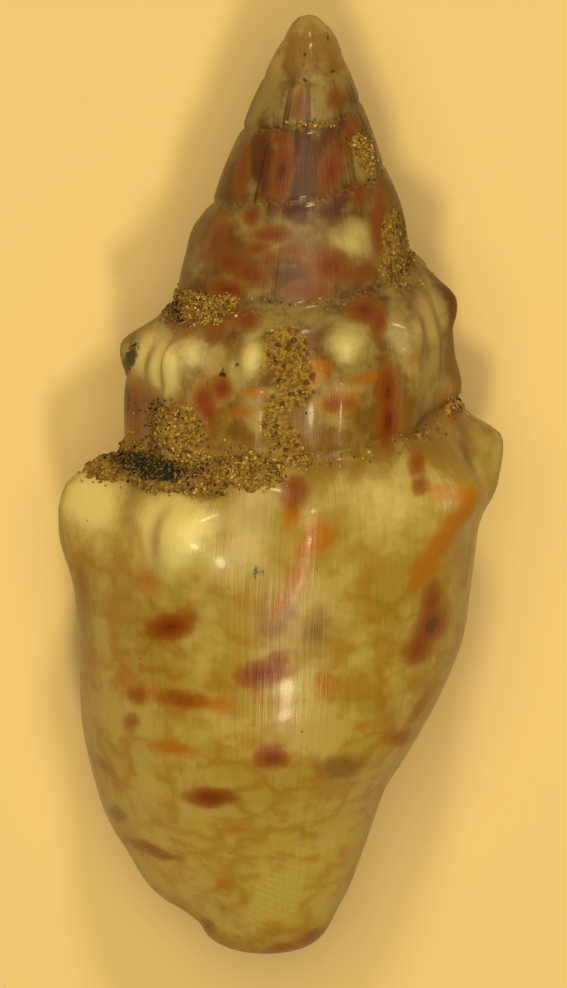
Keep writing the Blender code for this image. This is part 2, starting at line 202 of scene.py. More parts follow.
class Graph:
    """Adds nodes to a node tree."""

    CURVE_STEPS = 4

    def __init__(self, tree: bpy.types.NodeTree) -> None:
        """Work on a tree.

        Args:
            tree: Node tree to add to.
        """
        self.tree = tree

    def node(self, kind: str, settings: dict | None = None, inputs: dict | None = None) -> bpy.types.Node:
        """Add a node.

        Args:
            kind: The node's type.
            settings: Its properties, with "stops" for a colour ramp and "points" for a float curve.
            inputs: Values, fields or sockets by the name or number of the input.

        Returns:
            The node.
        """
        node = self.tree.nodes.new(kind)
        for name, value in (settings or {}).items():
            if name == "stops":
                self.set_stops(node, value)
            elif name == "points":
                self.set_points(node, value)
            else:
                setattr(node, name, value)
        for key, value in (inputs or {}).items():
            self.feed(pick(node.inputs, key), value)
        return node

    def feed(self, socket: Socket, value: object) -> None:
        """Link a field or a socket to an input, or set the input's value."""
        if isinstance(value, Field):
            self.tree.links.new(value.socket, socket)
        elif isinstance(value, Socket):
            self.tree.links.new(value, socket)
        else:
            socket.default_value = value

    def field(self, kind: str, settings: dict | None = None, inputs: dict | None = None,
              output: str | int = 0) -> Field:
        """Add a node and wrap one of its outputs.

        Args:
            kind: The node's type.
            settings: Its properties.
            inputs: Its inputs.
            output: Name or number of the output.

        Returns:
            The output as a field.
        """
        return Field(self, pick(self.node(kind, settings, inputs).outputs, output))

    def math(self, operation: str, *terms: Field | float) -> Field:
        """Add a Math node on terms."""
        return self.field("ShaderNodeMath", {"operation": operation}, dict(enumerate(terms)))

    def number(self, value: float) -> Field:
        """Add a number that stands for a field."""
        return self.math("ADD", value, 0.0)

    def blend(self, factor: Field, low: Field | float, high: Field | float) -> Field:
        """Go from low to high as the factor goes from 0 to 1."""
        return (high - low) * factor + low

    def vector(self, operation: str, *terms: object) -> Socket:
        """Add a Vector Math node on terms."""
        return self.node("ShaderNodeVectorMath", {"operation": operation}, dict(enumerate(terms))).outputs[0]

    def combine(self, x: Field | float, y: Field | float, z: Field | float) -> Socket:
        """Make a vector of three numbers."""
        return self.node("ShaderNodeCombineXYZ", None, {"X": x, "Y": y, "Z": z}).outputs[0]

    def noise(self, place: Socket, scale: float, detail: float = 2.0,
              roughness: float = 0.5) -> Field:
        """Add a noise texture.

        Args:
            place: Vector that it reads.
            scale: Waves for each unit of the vector.
            detail: Number of finer layers.
            roughness: Strength of the finer layers.

        Returns:
            Its value, about 0.5 in the middle.
        """
        inputs = {"Vector": place, "Scale": scale, "Detail": detail, "Roughness": roughness}
        return self.field("ShaderNodeTexNoise", None, inputs)

    def cells(self, place: Socket, scale: float, feature: str = "F1",
              randomness: float = 1.0) -> Field:
        """Add a Voronoi texture and read its distance."""
        inputs = {"Vector": place, "Scale": scale, "Randomness": randomness}
        return self.field("ShaderNodeTexVoronoi", {"feature": feature}, inputs, "Distance")

    def curve(self, points: Points, value: Field) -> Field:
        """Read the smooth curve through points at a field.

        Args:
            points: Position and value of each point of the curve.
            value: Where to read it.

        Returns:
            The curve's value there, level beyond both ends.
        """
        first, last = points[0][0], points[-1][0]
        positions = []
        for (start, _), (end, _) in zip(points, points[1:]):
            positions += [start + (end - start) * k / self.CURVE_STEPS for k in range(self.CURVE_STEPS)]
        positions.append(last)
        values = [through(points, position) for position in positions]
        low, high = min(values), max(values)
        span, rise = last - first, high - low
        scaled = [((x - first) / span, (y - low) / rise) for x, y in zip(positions, values)]
        share = ((value - first) / span).between(0.0, 1.0)
        return self.field("ShaderNodeFloatCurve", {"points": scaled}, {"Value": share}) * rise + low

    @staticmethod
    def set_points(node: bpy.types.Node, points: list[tuple[float, float]]) -> None:
        """Put points on a float curve, with straight lines between them."""
        line = node.mapping.curves[0]
        line.points[0].location = points[0]
        line.points[1].location = points[-1]
        for x, y in points[1:-1]:
            line.points.new(x, y)
        for point in line.points:
            point.handle_type = "VECTOR"
        node.mapping.update()

    @staticmethod
    def set_stops(node: bpy.types.Node, stops: list[tuple[float, tuple]]) -> None:
        """Put stops of a position and a colour on a colour ramp."""
        elements = node.color_ramp.elements
        while len(elements) < len(stops):
            elements.new(1.0)
        for element, (position, colour) in zip(elements, stops):
            element.position = position
            element.color = colour


class GeometryTree(Graph):
    """A Geometry Nodes tree with named inputs and outputs."""

    def __init__(self, name: str, inputs: dict[str, float | int], outputs: dict[str, str]) -> None:
        """Make an empty tree.

        Args:
            name: The tree's name.
            inputs: Value of each named input; whole numbers make whole-number sockets.
            outputs: Kind of socket for each named output, such as Geometry or Float.
        """
        super().__init__(bpy.data.node_groups.new(name, "GeometryNodeTree"))
        self.inputs = inputs
        for label, value in inputs.items():
            kind = "NodeSocketInt" if isinstance(value, int) else "NodeSocketFloat"
            self.tree.interface.new_socket(label, in_out="INPUT", socket_type=kind)
        for label, kind in outputs.items():
            self.tree.interface.new_socket(label, in_out="OUTPUT", socket_type=f"NodeSocket{kind}")
        self.entry = self.tree.nodes.new("NodeGroupInput")
        self.exit = self.tree.nodes.new("NodeGroupOutput")

    def size(self, label: str) -> Field:
        """Read a named input."""
        return Field(self, self.entry.outputs[label])

    def give(self, label: str, value: object) -> None:
        """Send a value out of the tree."""
        self.feed(self.exit.inputs[label], value)

    def call(self, group: "GeometryTree", inputs: dict) -> bpy.types.Node:
        """Use another tree as a node, with its own values where none is given.

        Args:
            group: Tree to use.
            inputs: Values or fields for its named inputs.

        Returns:
            The group's node.
        """
        return self.node("GeometryNodeGroup", {"node_tree": group.tree}, {**group.inputs, **inputs})

    def ask(self, group: "GeometryTree", inputs: dict, output: str | int = 0) -> Field:
        """Use another tree as a node, and read one of its outputs."""
        return Field(self, self.call(group, inputs).outputs[output])

    def place(self) -> Socket:
        """Place of each vertex, in millimetres."""
        return self.vector("MULTIPLY", self.node("GeometryNodeInputPosition").outputs[0], PER_MM)

    def grid(self, columns: Field | int, rows: Field | int) -> tuple[Socket, Field, Field]:
        """Add a flat grid of faces.

        Args:
            columns: Number of faces along it.
            rows: Number of faces down it.

        Returns:
            The mesh, and each vertex's share of the way along and down.
        """
        inputs = {"Size X": 1.0, "Size Y": 1.0, "Vertices X": columns + 1, "Vertices Y": rows + 1}
        mesh = self.node("GeometryNodeMeshGrid", None, inputs)
        corner = self.node("GeometryNodeInputPosition").outputs[0]
        place = self.node("ShaderNodeSeparateXYZ", None, {0: corner}).outputs
        return mesh.outputs["Mesh"], Field(self, place[0]) + 0.5, Field(self, place[1]) + 0.5

    def store(self, mesh: Socket, name: Kept, value: Field) -> Socket:
        """Keep a value on the vertices of a mesh."""
        settings = {"domain": "POINT", "data_type": "FLOAT"}
        inputs = {"Geometry": mesh, "Name": name.value, "Value": value}
        return self.node("GeometryNodeStoreNamedAttribute", settings, inputs).outputs[0]

    def read(self, name: Kept) -> Field:
        """Read a value that is kept on a mesh."""
        settings = {"data_type": "FLOAT"}
        return self.field("GeometryNodeInputNamedAttribute", settings, {"Name": name.value}, "Attribute")

    def move(self, mesh: Socket, place: Socket) -> Socket:
        """Set the place of each vertex of a mesh."""
        return self.node("GeometryNodeSetPosition", None, {"Geometry": mesh, "Position": place}).outputs[0]

    def join(self, *meshes: Socket) -> Socket:
        """Join meshes into one."""
        node = self.node("GeometryNodeJoinGeometry")
        for mesh in meshes:
            self.tree.links.new(mesh, node.inputs[0])
        return node.outputs[0]

    def weld(self, mesh: Socket, distance: float) -> Socket:
        """Merge the vertices that lie closer than a distance."""
        inputs = {"Geometry": mesh, "Distance": distance}
        return self.node("GeometryNodeMergeByDistance", None, inputs).outputs[0]

    def finish(self, mesh: Socket, finish: bpy.types.Material) -> None:
        """Turn what the tree made into plain geometry with a material, and send it out."""
        real = self.node("GeometryNodeRealizeInstances", None, {"Geometry": mesh}).outputs[0]
        inputs = {"Geometry": real, "Material": finish}
        self.give("Mesh", self.node("GeometryNodeSetMaterial", None, inputs).outputs[0])

    def make(self, name: str) -> bpy.types.Object:
        """Run the tree on an empty object and keep the result as a plain mesh.

        Args:
            name: Name of the piece.

        Returns:
            The piece, at the origin.
        """
        piece = bpy.data.objects.new(name, bpy.data.meshes.new(name))
        bpy.context.scene.collection.objects.link(piece)
        modifier = piece.modifiers.new(self.tree.name, "NODES")
        modifier.node_group = self.tree
        for item in self.tree.interface.items_tree:
            if item.in_out == "INPUT":
                modifier[item.identifier] = self.inputs[item.name]
        seen = bpy.context.evaluated_depsgraph_get()
        made = bpy.data.meshes.new_from_object(piece.evaluated_get(seen), depsgraph=seen)
        piece.modifiers.remove(modifier)
        piece.data = made
        made.name = name
        return piece


@dataclass(frozen=True)
class SpiralSizes:
    """Driving sizes of the shell, in millimetres, turns and shares of a whorl."""

    turn_start: float = -1.0
    turn_end: float = 5.125
    lip_side_turn: float = 5.0
    lip_side_angle: float = -90.0
    growth_rate: float = 0.359
    height_scale: float = 0.878
    lean: float = 0.12
    lean_turn: float = 0.06
    lean_range: tuple[float, float] = (3.6, 4.3)
    length: float = 14.0
    front_bend: float = 0.3
    front_bend_from: float = 11.2
    radii: Points = ((-1.0, 0.38), (0.0, 0.65), (1.0, 0.96), (2.0, 1.37), (3.0, 1.85), (4.0, 2.35),
                     (4.5, 2.66), (5.0, 3.15), (5.2, 3.35))
    outline: Points = ((0.0, 0.733), (0.11, 0.86), (0.24, 0.93), (0.45, 0.985), (0.67, 1.0), (1.0, 0.977),
                       (1.32, 0.937), (1.6, 0.852), (1.73, 0.775), (1.86, 0.655), (2.0, 0.52),
                       (2.12, 0.36), (2.22, 0.26))
    early_taper: float = 0.15
    early_taper_turns: tuple[float, float] = (4.5, 5.0)
    top_fit: float = 0.4
    flat_bulge: float = 0.02
    stepped: tuple[float, float] = (2.8, 3.4)
    dome_power: float = 0.5
    dome_turn: float = 0.5
    neck: Points = ((8.0, 1.5), (10.4, 1.84), (10.9, 1.66), (11.35, 1.42), (11.8, 1.26), (12.7, 1.05),
                    (13.15, 0.97), (13.6, 0.9), (13.85, 0.86), (14.0, 0.83))
    columella: Points = ((5.0, 0.25), (7.5, 0.6), (9.0, 1.02), (10.2, 1.14), (11.5, 1.04), (12.5, 0.84),
                         (13.3, 0.7), (13.8, 0.58), (14.0, 0.52))
    columella_turns: float = 0.35
    neck_blend: float = 0.35
    neck_blend_ends: tuple[float, float] = (12.8, 13.8)
    neck_join: float = 1.3
    neck_turns: tuple[float, float] = (2.79, 2.81)
    back_fullness: float = 0.4
    back_fullness_turn: float = 4.77
    back_fullness_reach: float = 0.16
    back_fullness_until: float = 12.0
    base_last_turn: float = 5.0
    base_last_heights: tuple[float, float] = (9.0, 12.0)
    tip_from: float = 13.0
    tip_power: float = 7.0
    groove_depth: float = 0.035
    groove_reach: float = 0.055
    groove_turns: tuple[float, float] = (0.6, 1.6)
    groove_ends: tuple[float, float] = (5.08, 5.12)


@dataclass(frozen=True)
class NodeRow:
    """A row of shoulder nodes, counted back along the spiral from its last one."""

    last_turn: float
    spacing: float
    count: int
    odd: tuple[tuple[int, float, float], ...] = ()


@dataclass(frozen=True)
class NodeSizes:
    """Shape of the shoulder nodes and of the ribs under them."""

    rows: tuple[NodeRow, ...] = (
        NodeRow(5.101, 0.123, 9, ((2, 1.0, -0.014), (3, 0.55, 0.004), (4, 1.1, -0.014), (5, 1.3, 0.0),
                                  (7, 0.4, 0.0))),
        NodeRow(4.0, 0.099, 18, ((1, 1.0, -0.012), (2, 1.0, -0.008), (4, 1.0, 0.018), (5, 1.0, 0.006))),
    )
    height: float = 0.52
    growth: float = 0.3
    growth_turn: float = 5.0
    full_from: tuple[float, float] = (2.7, 3.8)
    centre: float = 0.27
    reach_up: float = 0.19
    reach_down: float = 0.26
    steep_side: float = 0.19
    sloped_side: float = 0.27
    rib: float = 0.5
    rib_centre: float = 0.75
    rib_reach: float = 0.6
    ribs_until: tuple[float, float] = (4.1, 4.45)


@dataclass(frozen=True)
class Swelling:
    """A low rise of the surface, in degrees about the axis and millimetres."""

    angle: float
    height: float
    angle_reach: float
    height_reach: float
    amount: float


SWELLINGS = records(
    Swelling,
    (-84, 6.93, 13, 0.34, 0.355), (-55, 6.62, 18, 0.22, 0.16), (-24, 6.45, 20, 0.2, 0.12),
    (-46, 6.05, 9, 0.4, 0.12), (88, 5.55, 16, 0.34, 0.15), (86, 7, 14, 0.3, 0.13),
    (-88, 6.93, 14, 0.2, 0.1), (90, 5.25, 18, 0.3, 0.07), (95, 5.95, 14, 0.14, -0.1),
    (90, 2.75, 35, 0.5, 0.06), (90, 10.2, 40, 0.9, -0.09), (-95, 13.2, 40, 0.7, 0.14),
    (95, 6.25, 16, 0.55, -0.08), (-90, 7.3, 16, 0.5, -0.05), (6, 7.3, 14, 0.5, -0.052),
    (-49, 7.16, 8, 0.26, 0.11), (-66, 5.05, 8, 0.3, 0.12), (66, 4.6, 7, 0.6, 0.08), (17, 4.4, 8, 0.2, 0.06),
    (-18, 4.65, 7, 0.24, 0.06), (53, 6.72, 8, 0.26, 0.07),
)


@dataclass(frozen=True)
class Blotch:
    """A patch on the upper side of the shell as it lies, seen from above, in millimetres."""

    x: float
    y: float
    reach_x: float
    reach_y: float
    lean: float
    strength: float


BROWN = records(
    Blotch,
    (-2.14, 1.12, 0.2, 0.42, 0, 1), (-1.12, 1.35, 0.12, 0.32, 0, 0.8), (-1.59, -1.82, 0.28, 0.19, 0.9, 1),
    (-0.24, -2.42, 0.3, 0.17, 0.3, 1), (-0.03, -2.22, 0.14, 0.13, 0, 0.8), (0.14, 0.24, 0.16, 0.2, 0, 0.9),
    (2.21, -1.42, 0.14, 0.29, 0, 0.85), (2.22, -1.77, 0.2, 0.25, 0.25, 1.25),
    (2.05, -2.09, 0.19, 0.19, 0.3, 0.9), (-0.04, -3.65, 0.2, 0.16, 0, 1), (-0.91, -4.36, 0.3, 0.13, 0.3, 1),
    (-1.8, -5.35, 0.23, 0.12, -1.2, 0.8), (-1.5, -5.44, 0.23, 0.07, -0.5, 0.6),
    (-2.5, -4.14, 0.13, 0.12, -0.6, 0.6), (-2.26, -4.88, 0.12, 0.12, 0, 0.7),
    (1.92, 0.61, 0.12, 0.17, 0, 0.75), (1.97, 0.33, 0.13, 0.14, 0, 0.6), (-2.01, -2.9, 0.14, 0.14, 0, 0.5),
    (-1.37, -2.88, 0.38, 0.12, -0.2, 0.5), (-2.1, -3.34, 0.12, 0.13, 0, 0.5),
    (1.81, -3.45, 0.22, 0.13, -0.6, 0.5), (2.09, -3, 0.1, 0.23, 0.5, 0.5),
    (-0.87, -6.57, 0.12, 0.12, 0, 0.5), (0.26, -6.86, 0.23, 0.12, 0.4, 0.9),
    (0.7, -6.69, 0.26, 0.13, 0.8, 0.8), (-2.86, -1.7, 0.1, 0.58, 0, 0.45),
    (-0.56, 4.12, 0.12, 0.12, 0, 0.8), (-0.25, 3.88, 0.25, 0.12, 0.8, 0.9),
    (-0.45, 3.67, 0.17, 0.1, 0.5, 0.7), (0.03, 3.65, 0.19, 0.1, 0.3, 0.7), (-0.82, 3.43, 0.2, 0.19, 0, 0.8),
    (-0.58, 3.29, 0.25, 0.17, 0, 0.8), (-0.29, 3.54, 0.14, 0.13, 0, 0.5),
    (0.57, 3.44, 0.28, 0.22, -0.2, 0.9), (0.3, 3.09, 0.32, 0.13, 0, 0.8),
    (-1.07, 3.7, 0.12, 0.32, 0.3, 0.7), (-0.88, 3.03, 0.23, 0.14, 0, 1), (1.09, 3.33, 0.17, 0.13, 0, 0.5),
    (0.99, 4.46, 0.13, 0.17, 0, 0.8), (1.31, 4.04, 0.13, 0.46, 0, 0.8), (-0.6, 2.66, 0.19, 0.13, 0, 0.85),
    (-1.04, 2.55, 0.13, 0.13, 0, 0.7), (-1.54, 2.47, 0.2, 0.12, 0, 0.8), (1.1, 2.83, 0.22, 0.13, -0.2, 1.1),
    (1.31, 2.67, 0.12, 0.22, 0, 0.8), (-1.98, 1.25, 0.2, 0.22, 0, 1.1), (-0.95, 1.66, 0.14, 0.16, 0, 0.9),
    (-1.19, 1.48, 0.14, 0.23, 0.2, 0.9), (0.73, 1.52, 0.23, 0.13, 0.3, 0.55),
    (1.47, 1.66, 0.13, 0.32, 0, 1.1), (1.49, 1.24, 0.13, 0.38, 0, 1.1), (2.49, 1.31, 0.2, 0.23, 0, 0.5),
    (-0.15, 4.76, 0.13, 0.38, 0.1, 1.1), (-0.17, 5.23, 0.14, 0.09, 0, 0.9),
    (0.55, 4.78, 0.14, 0.32, 0.1, 1), (0.83, 5.24, 0.12, 0.23, 0, 0.7), (-0.72, 4.7, 0.09, 0.35, 0.1, 0.8),
    (0.6, 5.79, 0.13, 0.17, 0, 0.5), (0.09, 5.72, 0.12, 0.2, 0, 0.5),
)
ORANGE = records(
    Blotch,
    (-1.89, -1.19, 0.16, 0.2, -0.3, 0.8), (-2.06, -0.62, 0.06, 0.38, -0.3, 0.5),
    (0.1, -0.07, 0.13, 0.2, 0, 0.9), (0.53, -0.35, 0.22, 0.22, 0, 1.2), (0.29, -0.59, 0.14, 0.2, 0, 0.8),
    (0.22, -0.98, 0.14, 0.29, 0.2, 0.8), (-0.03, -1.37, 0.14, 0.23, 0.3, 0.7),
    (2.31, 0.22, 0.23, 0.09, -0.4, 0.9), (2.65, 0.15, 0.22, 0.12, -0.3, 1.2),
    (2.74, -0.03, 0.17, 0.17, 0.3, 1.2), (2.53, -0.19, 0.2, 0.17, 0.8, 1.1),
    (2.29, -0.57, 0.2, 0.26, 0.4, 1.1), (2.06, -0.96, 0.22, 0.23, 0.3, 0.9),
    (0.67, -2.52, 0.19, 0.13, 0.4, 0.7), (-1.71, -2.85, 0.38, 0.12, 0, 0.6),
    (-2.01, -2.9, 0.23, 0.13, 0, 0.8), (-1.37, -2.88, 0.49, 0.12, -0.1, 1),
    (-0.8, -2.91, 0.26, 0.12, -0.2, 0.8), (-1.49, -3.63, 0.41, 0.12, -0.5, 0.8),
    (0.58, -4, 0.2, 0.07, 0.3, 0.5), (-2.27, -4.44, 0.09, 0.17, -0.3, 0.5),
    (-0.52, -4.87, 0.23, 0.09, 0.5, 0.7), (-0.68, -5.81, 0.13, 0.13, 0, 0.8),
    (1.05, -5.29, 0.12, 0.14, 0, 0.5), (0.54, -5.35, 0.17, 0.07, 0.4, 0.5),
    (1.81, -3.45, 0.29, 0.16, -0.6, 0.7), (1.31, -3.19, 0.29, 0.09, -0.4, 0.5),
    (-1.59, -1.82, 0.35, 0.25, 0.9, 0.5), (-2.64, -2.57, 0.38, 0.07, -0.3, 0.5),
    (-2.21, -2.6, 0.14, 0.2, -0.4, 0.6), (0.57, 3.44, 0.35, 0.26, -0.2, 0.5),
    (-0.45, 1.67, 0.19, 0.07, 1.4, 0.9), (-0.69, 1.33, 0.19, 0.07, 1.4, 0.9),
    (0.34, 1.85, 0.19, 0.07, 0.5, 0.8), (0.5, 2.06, 0.19, 0.1, -0.3, 0.9),
    (1.13, 1.89, 0.17, 0.09, 0.6, 1.2), (0.73, 1.52, 0.26, 0.16, 0.3, 0.9),
    (1.88, 2.16, 0.12, 0.12, 0, 0.5), (2.04, 2.69, 0.17, 0.43, 0, 0.25),
    (-0.24, -2.42, 0.46, 0.23, 0.3, 0.5), (-0.04, -3.65, 0.29, 0.2, 0, 0.5),
    (-0.91, -4.36, 0.39, 0.17, 0.3, 0.5), (-1.8, -5.35, 0.29, 0.16, -1.2, 0.6),
)
PURPLE = records(
    Blotch,
    (-0.01, -1.56, 0.29, 0.38, 0.2, 0.8), (0.5, -1.71, 0.23, 0.35, 0, 0.7),
    (0.95, -3.82, 0.36, 0.2, 0, 0.9), (1.47, 1.66, 0.2, 0.52, 0, 0.4),
)
WHITE = records(
    Blotch,
    (0.92, 3.78, 0.34, 0.3, 0, 0.55), (-0.35, 3.75, 0.3, 0.26, 0, 0.4), (-2.78, -0.18, 0.41, 0.49, 0, 0.92),
    (-1.66, -0.42, 0.43, 0.52, 0.1, 1.15), (-1.35, -0.19, 0.35, 0.26, -0.3, 0.8),
    (1.54, 0.13, 0.58, 0.58, 0, 0.4), (0.4, 3.83, 0.32, 0.2, 0.2, 0.18),
    (-1.87, 1.83, 0.32, 0.43, 0.1, 1.1), (-1.41, 2.18, 0.23, 0.29, 0, 0.5),
    (-0.59, 2.15, 0.16, 0.38, 0.3, 0.72), (0.86, 2.39, 0.32, 0.32, 0, 0.65),
    (2.04, 2.69, 0.23, 0.38, 0, 0.6),
)
CRUST = records(
    Blotch,
    (-2.5, 0.23, 0.38, 0.17, 0.2, 0.7), (-1.93, 0.37, 0.46, 0.26, 0, 1.1),
    (-1.21, 0.39, 0.49, 0.32, -0.2, 1.1), (-0.5, 0.53, 0.52, 0.26, 0.1, 1),
    (0.22, 0.7, 0.35, 0.16, 0.2, 0.6), (0.8, 0.67, 0.38, 0.09, 0, 0.34),
    (1.38, 0.75, 0.38, 0.09, 0.3, 0.36), (1.96, 0.98, 0.38, 0.12, 0.4, 0.38),
    (2.49, 1.31, 0.2, 0.26, 0, 0.4), (-1.55, 1.01, 0.38, 0.32, 0, 1.2), (-1.62, 2.58, 0.26, 0.14, 0.2, 0.8),
    (-1.27, 2.74, 0.38, 0.22, 0.2, 1.1), (-0.92, 2.85, 0.23, 0.14, 0, 0.8),
    (0.16, 2.92, 0.87, 0.07, 0.1, 0.36), (1.54, 3.15, 0.67, 0.07, 0.4, 0.4),
    (0.3, 5.43, 0.35, 0.07, 0.1, 0.7), (1.04, 5.04, 0.17, 0.35, -0.3, 0.9),
    (0.21, 6.01, 0.23, 0.06, 0, 0.5),
)
POROUS = records(
    Blotch,
    (-0.04, 2.28, 0.35, 0.35, 0, 1), (0.11, 1.85, 0.29, 0.38, 0, 1.1), (-0.16, 1.32, 0.23, 0.38, 0.1, 0.9),
    (0, 0.96, 0.29, 0.23, 0, 0.8), (1.53, 3.84, 0.2, 0.38, -0.1, 1), (1.58, 3.41, 0.28, 0.26, -0.1, 1),
)
SOOT = records(
    Blotch,
    (-1.93, 0.37, 0.58, 0.14, 0, 1.2), (-1.21, 0.39, 0.2, 0.12, 0, 0.5),
    (-2.26, 1.83, 0.13, 0.43, 0.3, 0.9), (-2.31, 1.21, 0.12, 0.32, 0, 0.9),
    (-0.35, -0.89, 0.13, 0.14, 0, 0.8), (-0.65, -5.17, 0.04, 0.04, 0, 0.9),
    (-0.6, -5.28, 0.04, 0.04, 0, 0.9), (-1.12, -5.67, 0.04, 0.04, 0, 0.8),
    (-0.16, -5.91, 0.06, 0.04, 0, 0.6), (-0.65, -6.22, 0.06, 0.04, 0, 0.7),
    (0.26, -5.27, 0.06, 0.04, 0, 0.5), (-0.92, 1.9, 0.05, 0.05, 0, 1.6), (-0.73, 2.05, 0.05, 0.04, 0, 1.1),
    (-1.62, 2.58, 0.1, 0.1, 0, 0.9), (-1.98, 1.25, 0.23, 0.38, 0, 0.45), (-0.95, 1.66, 0.17, 0.23, 0, 0.4),
    (0.14, 6.43, 0.04, 0.04, 0, 0.9), (0.13, 6.29, 0.04, 0.06, 0, 0.7), (0.15, 6.07, 0.05, 0.05, 0, 1),
    (0.47, 6.68, 0.04, 0.09, 0, 0.8), (0.56, 6.2, 0.06, 0.04, 0, 0.9),
)


@dataclass(frozen=True)
class RestPose:
    """How the shell lies: apex raised, rolled about its axis, in degrees and millimetres."""

    pitch: float = 5.5
    roll: float = -1.1
    lift: float = 2.42
    shift: float = 0.22
    centre: float = 7.0
    apex_limit: float = 6.9678

    @property
    def turned(self) -> tuple[float, float, float]:
        """Angles about X, Y and Z, in radians."""
        return math.radians(self.pitch), math.radians(self.roll), 0.0

    @property
    def moved(self) -> tuple[float, float, float]:
        """Shift to the side and up, in millimetres."""
        return self.shift, 0.0, self.lift


